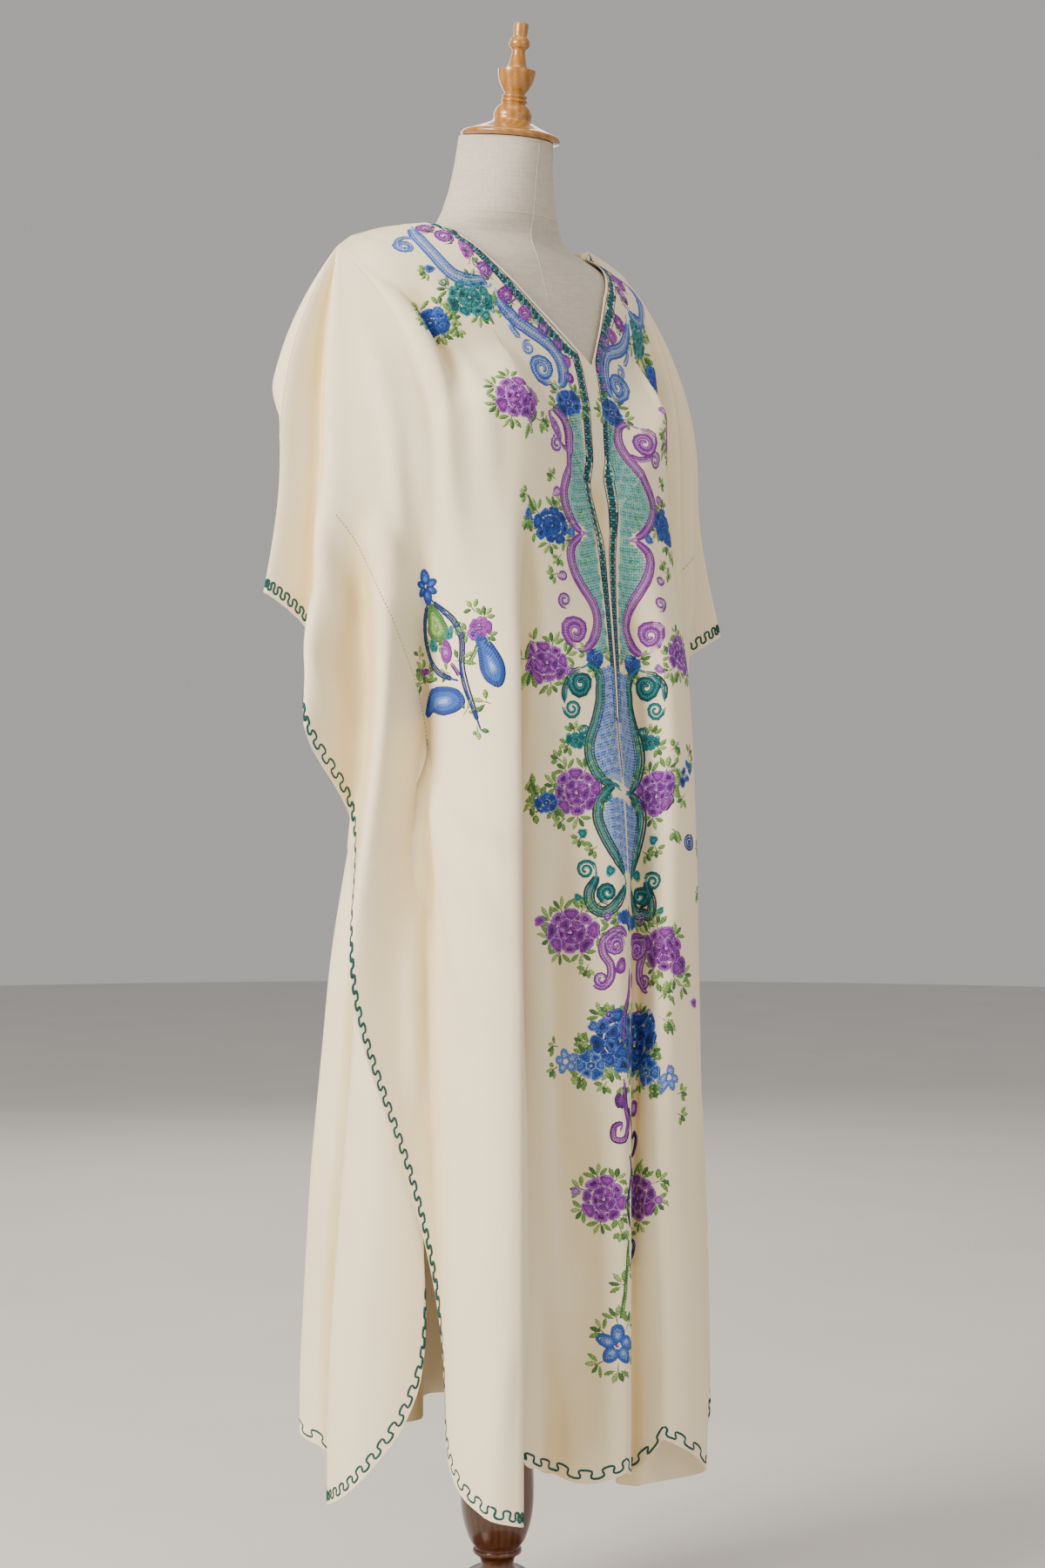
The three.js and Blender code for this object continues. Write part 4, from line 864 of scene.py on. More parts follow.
def rose(side, d, v, wide, high, turn, tints, turns=2.2):
    """An oval rose wound from the outside in."""
    at = around(side, d, v, turn)
    a = np.linspace(0, 2 * pi * turns, int(9 * turns) + 4)
    k = 1 - 0.86 * a / a[-1]
    x, y = wide / 2 * k * np.cos(a), high / 2 * k * np.sin(a)
    cut = len(a) // 2
    for part, colour in ((slice(0, cut + 1), tints[0]), (slice(cut, None), tints[-1])):
        flowers.append((-1, *at(x[part], y[part]), colour, 2.6))


def coil(side, d, v, radius, start, turns, hand, colours):
    """A scroll's curl: a few rows wound together into a spiral, from its outer end at the start angle."""
    at = around(side, d, v)
    a = np.linspace(0, 2 * pi * turns, int(11 * turns))
    for n, colour in enumerate(colours):
        r = radius * (1 - 0.84 * a / a[-1]) - n * 2.1 * (1 - 0.7 * a / a[-1])
        x, y = r * np.cos(radians(start) + hand * a), r * np.sin(radians(start) + hand * a)
        scrolls.append((-1, *at(x[r > 0.6], y[r > 0.6]), colour, 2.5))


def underlay(side, left, right, heights, colour):
    """Satin rows side by side that fill the ground between two lines."""
    for v in heights:
        d = np.arange(left(v), right(v) + 0.1, 3.0)
        if len(d) > 1:
            leaves.append((-1, *placed(side, d, np.full(len(d), v)), colour, 3.4))


def sprig(side, d, v, size, turn, lobes=3):
    """A green sprig of short thick leaves on a stalk."""
    size = size * 1.35
    at = around(side, d, v, turn)
    leaves.append((-1, *at([0, 0, 0], [size * 0.4, 0, -size * 0.4]), MOSS, 1.5))
    for n, a in enumerate(np.radians(np.linspace(-62, 62, lobes))):
        r = np.linspace(0.2, 1, 4) * size
        x, y = r * np.sin(a), -r * np.cos(a) * (1 if n % 2 else 0.9)
        fat = np.array([0.5, 1.1, 1.2, 0.7]) * (4.8 if size > 9 else 3.6)
        leaves.append((-1, *at(x, y), (LEAF, LIME, MOSS)[n % 3], fat))


def nested(side, d, v, outline, turn, tints, focus=(0, 0)):
    """A closed petal, bud or leaf worked as rows one inside the other."""
    at = around(side, d, v, turn)
    P = soft_line(list(outline) + [outline[0]], 2.4)
    reach = np.hypot(*(P - focus).T).max()
    rings = max(2, int(round(reach * NESTED_ROWS)))
    for n in range(rings):
        k = 1 - (n + 0.35) / rings
        Q = np.array(focus) + (P - focus) * k
        flowers.append((-1, *at(Q[:, 0], Q[:, 1]), tints[n * len(tints) // rings], 2 * reach / rings * 0.62))


def cluster(side, d, v, wide, high, tints, dark, sprigs=6, turn=0):
    """A full-blown flower head: rings of petals round a rose, with green sprigs all round."""
    at = around(side, d, v)

    def spot(x, y):
        """The d, v of a place across and down from the middle of the head."""
        u, w = (float(q[0]) for q in at([x], [y]))
        away = side * (u - float(middle(w)))
        slip = 1.5 * max(0, away - 42) * float(ease((w - 560) / 150)) if side < 0 else 0
        return away, w - slip

    def ring(count, near, far, shift, petals):
        for k in range(count):
            a = 2 * pi * (k + shift) / count + radians(turn)
            reach = 1 + 0.12 * sin(2.3 * k + wide + turn)
            x, y = near * wide * sin(a), -near * high * cos(a)
            size = (far - near) * np.hypot(wide * sin(a), high * cos(a)) * reach
            shell(side, *spot(x, y), size, degrees(a), petals[k % len(petals)], tints[-1],
                  min(1.3, 5.6 * far / count / (far - near)))

    pairs = ((tints[0], tints[1]), (tints[1], dark), (tints[0], dark))
    a = np.linspace(0, 2 * pi, 25)
    for k in (0.38, 0.24, 0.1):
        leaves.append((-1, *at(k * wide * np.sin(a), -k * high * np.cos(a)), tints[0],
                       0.15 * (wide + high) / 2))
    if wide >= 38:
        ring(8, 0.27, 0.53, 0.0, pairs)
        ring(5, 0.08, 0.29, 0.5, pairs[::-1])
        rose(side, d, v, 0.17 * wide, 0.15 * high, turn, (dark, tints[-1]), 1.2)
    else:
        ring(6 if wide > 24 else 5, 0.13, 0.52, 0.2, pairs)
        rose(side, d, v, 0.24 * wide, 0.22 * high, turn, (dark, tints[-1]), 1.4)
    for k in range(sprigs):
        a = 2 * pi * (k + 0.5) / sprigs + radians(turn)
        sprig(side, *spot(0.52 * wide * sin(a), -0.52 * high * cos(a)), 7 + 0.08 * wide, degrees(a), 4)


# heights at which the outer edges of the purple vases and of the teal one are read
VASE_HEIGHTS = [220, 243, 262, 280, 298, 314, 330, 345, 352, 360, 373, 388, 402, 415, 429, 444, 458, 470]
URN_HEIGHTS = [494, 509, 523, 541, 556, 570, 583, 598, 608]
SCROLL_PERI = (BLUE, PERI, SKY, PERI, BLUE)
SCROLL_PURPLE = (PURPLE, ORCHID, LILAC, ORCHID, PURPLE)
SCROLL_TEAL = (DEEP, TEAL, SEA, TEAL, DEEP)
DRAWN = [
    # from the shoulder crest down beside the roses, and the big curl below the collarbone
    (SCROLL_PERI, [(134, 8), (146, 26), (152, 50), (151, 76), (143, 95), (128, 105), (111, 108), (97, 99)]),
    (SCROLL_PERI, [(94, 104), (93, 120), (78, 131), (58, 138), (44, 144), (34, 155), (29, 172), (33, 189),
                   (46, 197)]),
    ((PERI, SKY, BLUE), [(152, 40), (164, 32), (176, 36), (180, 46), (173, 53), (167, 47), (171, 43)]),
    ((PERI, SKY, BLUE), [(88, 138), (82, 147), (74, 152)]),
    # the two purple vases and their curls
    (SCROLL_PURPLE, [(66, 228), (54, 221), (42, 228), (38, 243), (42, 260), (53, 280),
                     (63, 298), (68, 314), (65, 327), (56, 337), (43, 345), (28, 350)]),
    (SCROLL_PURPLE[:3], [(42, 256), (54, 262), (66, 262), (76, 260)]),
    (SCROLL_PURPLE, [(28, 349), (42, 351), (55, 360), (60, 373), (55, 388), (44, 402), (33, 415), (25, 429),
                     (23, 444),
                     (30, 458), (42, 466), (57, 468)]),
    # the teal vase, the tear below it and its foot
    (SCROLL_TEAL[:3], [(60, 492), (69, 502), (75, 516), (75, 530)]),
    (SCROLL_TEAL, [(52, 486), (40, 483), (29, 490), (24, 502), (25, 511), (26, 523), (32, 541), (39, 556),
                   (42, 570), (40, 583), (33, 598),
                   (21, 608), (7, 611)]),
    ((DEEP, TEAL, SEA, TEAL, DEEP), [(5, 614), (20, 612), (35, 620), (40, 637), (35, 656), (27, 674),
                                     (19, 688), (12, 698), (8, 708)]),
    (SCROLL_TEAL, [(9, 702), (16, 718), (28, 731), (41, 734), (52, 725), (54, 711), (47, 699), (46, 689)]),
    # the lilac heart
    ((PURPLE, ORCHID, LILAC, PURPLE), [(6, 764), (18, 757), (33, 757), (43, 764), (43, 776), (37, 788),
                                       (37, 800), (44, 808),
                                    (52, 804), (50, 796)]),
    ((PURPLE, LILAC), [(26, 778), (34, 774), (33, 767), (25, 768), (24, 776)]),
]
for side in (1, -1):
    for colours, points in DRAWN:
        stroke(points, colours, side=side)

    # the curls at the scrolls' ends
    for d, v, radius, start, turns, hand, colours in (
            (176, 46, 12, 180, 1.9, 1, SCROLL_PERI[:3]), (54, 178, 19, 120, 2.1, -1, SCROLL_PERI[:4]),
            (66, 160, 9, -120, 1.7, 1, SCROLL_PERI[1:3]), (66, 246, 18, -90, 2.2, 1, SCROLL_PURPLE[:4]),
            (76, 270, 10, -100, 1.8, 1, (PURPLE, LILAC)), (57, 450, 18, 90, 2.2, -1, SCROLL_PURPLE[:4]),
            (72, 424, 9, 100, 1.7, -1, (PURPLE, LILAC)), (52, 502, 17, -90, 2.2, 1, SCROLL_TEAL[:4]),
            (64, 530, 11, 0, 1.8, 1, (TEAL, SEA)), (56, 688, 11, 180, 1.8, 1, (TEAL, SEA)),
            (36, 716, 12, 90, 1.9, -1, (DEEP, TEAL, SEA)),
            (30, 770, 14, 200, 2.0, 1, (PURPLE, LILAC, ORCHID)),
            (46, 800, 9, 160, 1.7, -1, (PURPLE, LILAC))):
        coil(side, d, v, radius, start, turns, hand, colours)

    # roses and buds between the collar band and the first scroll
    for d, v, wide, high, turn, tints in (
            (128, 20, 26, 19, 35, (PURPLE, ORCHID)), (122, 44, 26, 19, 60, (PURPLE, LILAC)),
            (110, 66, 24, 18, 60, (ORCHID, PURPLE)),
            (100, 84, 21, 16, 50, (PURPLE, LILAC)), (78, 106, 22, 16, 40, (PURPLE, ORCHID)),
            (59, 120, 20, 15, 35, (ORCHID, PURPLE)),
            (42, 132, 18, 13, 50, (PURPLE, LILAC)), (30, 148, 15, 12, 65, (PURPLE, ORCHID)),
            (24, 166, 13, 11, 80, (ORCHID, PURPLE)),
            (25, 184, 11, 12, 90, (PURPLE, LILAC))):
        at, a = around(side, d, v, turn), np.linspace(0, 2 * pi, 15)
        leaves.append((-1, *at(0.3 * wide * np.sin(a), -0.3 * high * np.cos(a)), tints[0], 0.5 * high))
        rose(side, d, v, wide * 1.2, high * 1.2, turn, tints, 3)
        rose(side, d, v, wide * 0.5, high * 0.5, turn, (LILAC, ORCHID), 1.4)
    for d, v, turn in ((124, 30, 60), (118, 54, 70), (104, 76, 60), (94, 92, 50), (71, 114, 60),
                       (51, 127, 50), (35, 140, 80),
                       (96, 130, 160), (24, 176, 100)):
        sprig(side, d, v, 5.5, turn)

    # the teal and blue flower heads below the collarbone
    cluster(side, 132, 124, 46, 38, (TEAL, SEA, AQUA), DEEP, 5, 20)
    shell(side, 106, 128, 14, 20, (TEAL, SEA), AQUA)
    shell(side, 112, 142, 13, 150, (TEAL, AQUA), AQUA)
    cluster(side, 180, 134, 34, 30, (COBALT, BLUE), COBALT, 6, 60)
    shell(side, 160, 84, 11, 80, (BLUE, COBALT), PERI)
    rose(side, 158, 100, 10, 9, 0, (TEAL, SEA), 1.4)
    sprig(side, 170, 84, 8, 95, 5)
    sprig(side, 150, 152, 8, 170, 5)

    # the purple head beside the vases
    cluster(side, 126, 250, 46, 42, (PURPLE, ORCHID, LILAC), PLUM, 7, -20)
    shell(side, 98, 236, 13, 60, (ORCHID, LILAC), LILAC)
    sprig(side, 96, 258, 8, -120, 5)

    # between the V's foot and the first vase
    cluster(side, 32, 212, 34, 26, (COBALT, BLUE, PERI), NAVY, 5)
    cluster(side, 88, 356, 40, 34, (COBALT, BLUE, BLUE), NAVY, 6, 80)
    shell(side, 66, 352, 13, -90, (BLUE, PERI), PERI)
    shell(side, 112, 362, 12, 95, (BLUE, COBALT), PERI)
    for d, v, turn in ((76, 330, 40), (78, 384, 140), (122, 350, 80), (120, 374, 110), (84, 306, 60),
                       (44, 330, -60), (38, 372, -110)):
        sprig(side, d, v, 7.5, turn, 4)
    rose(side, 80, 318, 13, 11, 20, (ORCHID, LILAC))
    rose(side, 74, 400, 13, 11, -20, (PURPLE, LILAC))
    sprig(side, 86, 404, 7.5, 110, 4)

    # heads beside the second vase and the waist
    cluster(side, 100, 500, 42, 38, (PURPLE, ORCHID, LILAC), PLUM, 7, 10)
    shell(side, 76, 500, 12, -80, (ORCHID, LILAC), LILAC)
    cluster(side, 30, 478, 22, 18, (COBALT, BLUE), NAVY, 3)
    rose(side, 48, 547, 12, 11, 0, (TEAL, SEA))
    cluster(side, 58, 560, 20, 16, (TEAL, SEA), DEEP, 3, 70)
    cluster(side, 62, 612, 46, 44, (PURPLE, ORCHID, LILAC), PLUM, 7, 5)
    cluster(side, 106, 638, 24, 20, (COBALT, BLUE, PERI), NAVY, 4, 80)
    rose(side, 26, 620, 12, 10, 0, (SEA, TEAL))
    shell(side, 52, 648, 11, 130, (TEAL, SEA), AQUA)
    for d, v, turn in ((84, 588, 60), (82, 646, 130), (60, 656, 150), (122, 630, 80), (120, 652, 110),
                       (46, 668, 120)):
        sprig(side, d, v, 8, turn, 4)
    shell(side, 35, 700, 12, -30, (TEAL, SEA, AQUA), AQUA)
    shell(side, 60, 716, 9, 90, (TEAL, SEA), AQUA)

    # heads at the knee
    cluster(side, 73, 752, 52, 42, (PURPLE, ORCHID, LILAC), PLUM, 8)
    shell(side, 40, 745, 12, -20, (PURPLE, LILAC), LILAC)
    shell(side, 106, 752, 12, 95, (ORCHID, PURPLE), LILAC)
    cluster(side, 16, 742, 18, 14, (COBALT, BLUE), NAVY, 2)
    sprig(side, 56, 724, 8, 20, 5)
    sprig(side, 58, 786, 8, 160, 5)

    # the blue heads of the lower spray
    cluster(side, 28, 866, 50, 60, (COBALT, BLUE, PERI), NAVY, 6, 10)
    cluster(side, 56, 884, 30, 26, (BLUE, PERI, SKY), COBALT, 3, 80)
    shell(side, 48, 850, 12, 60, (BLUE, PERI), PERI)
    shell(side, 52, 872, 11, 100, (COBALT, BLUE), PERI)
    for n in range(5):
        nested(side, 78, 882, [(0, -2), (3.4, -6), (2.6, -11.5), (0, -13), (-2.6, -11.5), (-3.4, -6)],
               72 * n + 10,
               (PERI, SKY), (0, -6))
    for d, v, turn in ((62, 860, 50), (64, 898, 130), (92, 872, 80), (92, 894, 110), (40, 836, 30),
                       (44, 906, 150), (22, 912, 170)):
        sprig(side, d, v, 8, turn, 4)
    rose(side, 39, 838, 12, 12, 0, (PURPLE, LILAC))
    cluster(side, 47, 1020, 42, 44, (PURPLE, ORCHID, LILAC), PLUM, 7, -10)
    shell(side, 66, 1010, 11, 80, (ORCHID, LILAC), LILAC)
    sprig(side, 30, 1056, 8, 200, 5)

    # aqua rosettes fill the vases, and lighter blue ones the teal vase and the tear
    def in_vase(v):
        return float(np.interp(v, [170, 303, 357, 394, 430, 485], [19, 19, 17, 14, 11, 9]))

    def out_vase(v):
        return float(np.interp(v, VASE_HEIGHTS,
                               [36, 35, 39, 50, 60, 65, 61, 34, 34, 50, 57, 52, 41, 31, 23, 21, 26, 34]))

    underlay(side, in_vase, out_vase, np.arange(224, 476, 2.9), FOAM)
    for v in np.arange(238, 476, 9.4):
        inside = float(np.interp(v, [170, 303, 357, 394, 430, 485], [22, 22, 19, 15, 12, 11]))
        outside = float(np.interp(v, VASE_HEIGHTS,
                                  [34, 31, 35, 46, 56, 61, 57, 30, 30, 46, 53, 48, 37, 27, 19, 17, 22, 30]))
        for k, d in enumerate(np.arange(inside + 2.5 + 4 * (int(v / 9.4) % 2), outside - 1.5, 8.6)):
            rose(side, d, v, 8.4, 8.0, 40 * k + v, (AQUA, SEA), 1.5)
    def near_centre(v):
        return 1.2

    def out_urn(v):
        return float(np.interp(v, URN_HEIGHTS, [26, 24, 25, 31, 37, 41, 39, 31, 18]))

    def out_tear(v):
        return float(np.interp(v, [622, 626, 640, 656, 674, 690], [10, 31, 37, 33, 25, 16]))

    underlay(side, near_centre, out_urn, np.arange(492, 606, 2.9), SKY)
    underlay(side, near_centre, out_tear, np.arange(622, 692, 2.9), SKY)
    for v in np.arange(494, 604, 9.2):
        outside = float(np.interp(v, URN_HEIGHTS, [22, 20, 21, 27, 33, 37, 35, 27, 14]))
        for k, d in enumerate(np.arange(6 + 4 * (int(v / 9.2) % 2), outside - 3, 8.4)):
            rose(side, d, v, 8.2, 7.8, 50 * k + v, (PERI, BLUE), 1.5)
            if (k + int(v)) % 3 == 0:
                sprig(side, d + 4, v + 4, 3.6, 70 * k, 3)
    for v in np.arange(626, 690, 8.8):
        outside = float(np.interp(v, [626, 640, 656, 674, 690], [27, 33, 29, 21, 12]))
        for k, d in enumerate(np.arange(5, outside - 3, 8.4)):
            rose(side, d, v, 8.0, 7.6, 60 * k + v, (PERI, BLUE), 1.5)

# single motifs down the centre: the heart's buds, the lower stem, its curls and the last flower
stroke([(8, 790), (12, 815), (22, 842), (24, 870)], (PURPLE, ORCHID, PLUM), side=1)
nested(1, 4, 742, [(0, -12), (7, -4), (6, 6), (0, 10), (-6, 6), (-7, -4)], 0, (COBALT, BLUE, PERI), (0, 2))
nested(1, 24, 792, [(0, -9), (5, -2), (3, 7), (-3, 7), (-5, -2)], -20, (PURPLE, ORCHID, LILAC), (0, 2))
nested(-1, 10, 800, [(0, -9), (5, -2), (3, 7), (-3, 7), (-5, -2)], 20, (PURPLE, ORCHID, LILAC), (0, 2))
nested(1, 27, 926, [(0, -8), (5, -2), (3, 7), (-3, 7), (-5, -2)], 0, (PLUM, PURPLE, LILAC), (0, 2))
nested(-1, 30, 930, [(0, -8), (5, -2), (3, 7), (-3, 7), (-5, -2)], 20, (PURPLE, LILAC), (0, 2))
stroke([(24, 905), (22, 930), (18, 948), (24, 966), (36, 962), (35, 950), (27, 950), (29, 957)],
       (PURPLE, ORCHID, PLUM), side=1)
stroke([(-20, 925), (-6, 950), (14, 975), (30, 978), (40, 966), (34, 956), (27, 962), (32, 968)],
       (NAVY, PLUM), side=-1)
stroke([(18, 974), (10, 990), (14, 1006), (20, 1030), (14, 1056)], (NAVY, PLUM), side=1)
stroke([(14, 1062), (20, 1080), (34, 1084), (42, 1074), (36, 1066), (30, 1072)], (NAVY, COBALT), side=-1)
stroke([(18, 1056), (22, 1090), (26, 1120), (33, 1150)], (MOSS, LEAF), side=1, into=leaves)
for n in range(5):
    nested(1, 35, 1168, [(0, -2), (5.6, -9), (4.2, -18), (0, -21), (-4.2, -18), (-5.6, -9)], 72 * n,
           (BLUE, PERI, SKY), (0, -9))
rose(1, 35, 1168, 8, 8, 0, (WHITE, PURPLE), 1.4)
for d, v, turn in ((22, 1150, -40), (50, 1152, 50), (17, 1176, -100), (53, 1182, 120), (35, 1192, 180),
                   (28, 1110, 60),
                   (20, 1096, -70), (36, 1142, 10)):
    sprig(1, d, v, 11, turn, 4)

# the spray on each hip: a blue star over a leaf framed in navy, with buds, roses and two curved paisleys
for side in (1, -1):
    def line(points):
        return [(p[0] - side * float(middle(p[1])), p[1]) for p in points]

    def spot(u, v):
        return u - side * float(middle(v)), v

    for n in range(6):
        nested(side, *spot(266, 370), [(0, -2), (3.8, -8), (2.6, -15), (0, -18), (-2.6, -15), (-3.8, -8)],
               60 * n, (COBALT, BLUE, PERI), (0, -7))
    rose(side, *spot(266, 370), 6, 6, 0, (NAVY, WHITE), 1.2)
    stroke(line([(262, 383), (278, 394), (290, 410), (290, 426), (280, 443), (264, 456), (248, 466),
                 (232, 474)]),
           (NAVY, COBALT, NAVY), side=side)
    stroke(line([(258, 384), (242, 394), (226, 406), (218, 422), (216, 440), (219, 454), (223, 468),
                 (224, 486), (222, 506), (220, 532)]),
           (NAVY, COBALT, NAVY), side=side)
    nested(side, *spot(252, 410), [(0, -22), (7, -10), (12, 4), (9, 14), (0, 18), (-9, 14), (-12, 4),
                                   (-7, -10)], 10,
           (MOSS, LEAF, LIME, LEAF, LIME), (0, 4))
    cluster(side, *spot(266, 430), 14, 12, (TEAL, SEA), DEEP, 2)
    cluster(side, *spot(229, 426), 12, 11, (TEAL, SEA), DEEP, 2)
    nested(side, *spot(240, 441), [(0, -13), (6, -5), (7, 4), (3, 11), (-3, 11), (-7, 4), (-6, -5)], -10,
           (PURPLE, ORCHID, LILAC), (0, 2))
    stroke(line([(238, 452), (232, 462), (228, 472)]), (PLUM, PURPLE), side=side)
    cluster(side, *spot(200, 444), 24, 20, (PURPLE, ORCHID), PLUM, 3, 20)
    cluster(side, *spot(312, 446), 24, 20, (PURPLE, ORCHID), PLUM, 3, -20)
    stroke(line([(204, 454), (210, 462), (219, 468)]), (MOSS, LEAF), side=side, into=leaves)
    stroke(line([(306, 456), (286, 462), (262, 464)]), (MOSS, LEAF), side=side, into=leaves)
    nested(side, *spot(200, 480), [(8, -38), (6, -26), (8, -10), (10, 4), (7, 17), (-2, 25), (-9, 18),
                                   (-11, 6), (-8, -9), (-2, -24)],
           0, (COBALT, BLUE, BLUE, PERI, SKY), (0, 6))
    nested(side, *spot(262, 488), [(62, 12), (46, 13), (26, 9), (4, 12), (-18, 10), (-30, 2), (-20, -10),
                                   (6, -13), (32, -9), (50, 0)],
           -14, (COBALT, BLUE, BLUE, PERI, SKY), (-4, 0))
    for u, v, size, turn in ((224, 456, 9, -60), (246, 462, 9, 60), (232, 506, 10, -50), (212, 512, 10, 60),
                             (200, 424, 8, 20),
                             (326, 424, 8, -20), (222, 530, 8, 180), (334, 450, 8, 90)):
        sprig(side, *spot(u, v), size, turn, 3)

sewn_on("embroidery_scrolls", scrolls, 1.9, 0.7)
sewn_on("embroidery_flowers", flowers, 1.9, 0.55)
sewn_on("embroidery_leaves", leaves, 1.9, 0.5)


# ------------------------------------------------------------------ the linen dress form
# A moulded limbless body under tight plain-weave linen, sewn up the middle of the front and back, over
# the shoulders and round the root of the neck. The body under the kaftan is drawn in a little.
NECK_ROOT, NECK_TILT, NECK_AHEAD = 1512, radians(8.5), -21.5
NECK_SEAM = 1516.0                                # height of the seam round the root of the neck


def drawn_in(z):
    """How far the form stays inside the cloth's room: most at the shoulders and below the hips."""
    return 3.2 * ease((1532 - z) / 42) + 5.6 * ease((960 - z) / 60) + 3.6 * ease(1 - abs(z - 1490) / 26)


def on_form(z, turn):
    """Places on the form at heights z and angles turn, from the wearer's left round by the back."""
    half, front, back, power = ring_at(z)
    c, s, slim = np.cos(turn), np.sin(turn), drawn_in(z)
    x = (half - slim) * np.sign(c) * np.abs(c) ** (2 / power)
    y = (np.where(s < 0, front, back) - slim) * np.sign(s) * np.abs(s) ** (2 / power)
    lean = ease((z - NECK_ROOT) / 87) * np.tan(NECK_TILT)
    return np.stack([x, y, z + lean * (y - NECK_AHEAD)], axis=-1)


HEIGHTS = np.concatenate([np.linspace(795, 803, 4)[:-1], np.linspace(803, 1430, 52)[:-1],
                          np.linspace(1430, 1525, 52)[:-1], np.linspace(1525, 1599, 16)])
TURNS = np.arange(96) / 96 * 2 * pi
rings = on_form(HEIGHTS[:, None], TURNS[None, :])
n, m = rings.shape[:2]
verts = rings.reshape(-1, 3).tolist() + [rings[0].mean(axis=0).tolist(), rings[-1].mean(axis=0).tolist()]
faces = [[i * m + j, i * m + (j + 1) % m, (i + 1) * m + (j + 1) % m, (i + 1) * m + j]
         for i in range(n - 1) for j in range(m)]
faces += [[n * m, (j + 1) % m, j] for j in range(m)]
faces += [[n * m + 1, (n - 1) * m + j, (n - 1) * m + (j + 1) % m] for j in range(m)]
form = new_mesh("linen_form", verts, faces)
closed_outward(form, 50)


def welt(name, P, width, height):
    """A narrow sewn welt along the form's surface through the points P."""
    P = np.asarray(P, float)
    T = unit(np.gradient(P, axis=0))
    N = unit(P * [1, 1, 0])
    N = unit(N - T * (N * T).sum(axis=-1, keepdims=True))
    A = np.cross(N, T)
    ring = [P + A * (width / 2 * x) + N * (height * y) for x,
            y in ((-1, -0.6), (1, -0.6), (0.6, 0.7), (0, 1), (-0.6, 0.7))]
    k, r = len(P), len(ring)
    verts = np.stack(ring, axis=1).reshape(-1, 3)
    faces = [[i * r + j, i * r + (j + 1) % r, (i + 1) * r + (j + 1) % r, (i + 1) * r + j]
             for i in range(k - 1) for j in range(r)]
    faces += [list(range(r)), [(k - 1) * r + j for j in range(r)]]
    piece = new_mesh(name, verts, faces)
    closed_outward(piece)
    return piece


# Unbleached linen: greige, matt, with slubs along both threads. Threads are 0.5 mm; drawn at 1.5 mm.
linen, tree, main = finish_named("greige plain-weave linen", Roughness=0.9, IOR=1.45, Sheen_Weight=0.12,
                                 Specular_IOR_Level=0.25)
place = add(tree, "ShaderNodeTexCoord")
warp = add(tree, "ShaderNodeMapping", [(place.outputs["Object"], "Vector")], Scale=(640, 640, 60))
weft = add(tree, "ShaderNodeMapping", [(place.outputs["Object"], "Vector")], Scale=(60, 60, 640))
threads = [add(tree, "ShaderNodeTexNoise", [(m.outputs[0], "Vector")], Scale=1.0,
               Detail=2.0) for m in (warp, weft)]
weave = add(tree, "ShaderNodeMath", [(threads[0].outputs["Fac"], 0), (threads[1].outputs["Fac"], 1)],
            operation='ADD')
half = add(tree, "ShaderNodeMath", [(weave.outputs[0], 0)], operation='MULTIPLY', _1=0.5)
greige = add(tree, "ShaderNodeMix", [(half.outputs[0], "Factor")], data_type='RGBA')
greige.inputs[6].default_value = linear("#A69C90")
greige.inputs[7].default_value = linear("#DDD5CA")
bump = add(tree, "ShaderNodeBump", [(half.outputs[0], "Height")], Strength=0.35, Distance=0.0006)
tree.links.new(greige.outputs[2], main.inputs["Base Color"])
tree.links.new(bump.outputs[0], main.inputs["Normal"])
form.data.materials.append(linen)
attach(form, "root")
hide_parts("torso")

rise = np.linspace(1380, 1597, 60)
all_round = np.linspace(0, 2 * pi, 97)
seams = {"seam_front": on_form(rise, np.full(60, -pi / 2)), "seam_back": on_form(rise, np.full(60, pi / 2)),
         "seam_neck_root": on_form(np.full(97, NECK_SEAM), all_round)}
for name, points in seams.items():
    seam = welt(name, points, 1.8, 0.3)
    seam.data.materials.append(linen)
    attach(seam, "root")

# ------------------------------------------------------------------ the turned neck finial
# Beech turned on a lathe, stained honey and dipped in gloss lacquer; it caps the form's neck.
CAP = [(0, 0.35), (46, 0.4), (50.5, 1.2), (52.6, 3.6), (50.8, 6.6), (44, 9), (30, 15), (20.4, 20.5),
       (20.2, 27), (18.2, 32.5), (14.6, 36.6), (12.3, 38.6), (13.7, 40.4), (13.5, 42.2), (12, 43.4),
       (13.2, 45), (12.8, 46.8), (10.6, 48.4), (13.6, 53), (17.6, 60.5), (19.6, 69), (19.9, 73),
       (12.2, 73.9), (10.2, 77), (8.4, 83), (7, 91), (7.4, 94), (10, 96.4), (11, 100), (9.9, 104),
       (7.2, 107.4), (7.4, 112), (7.7, 119.5), (6.4, 121.2), (0, 121.6)]


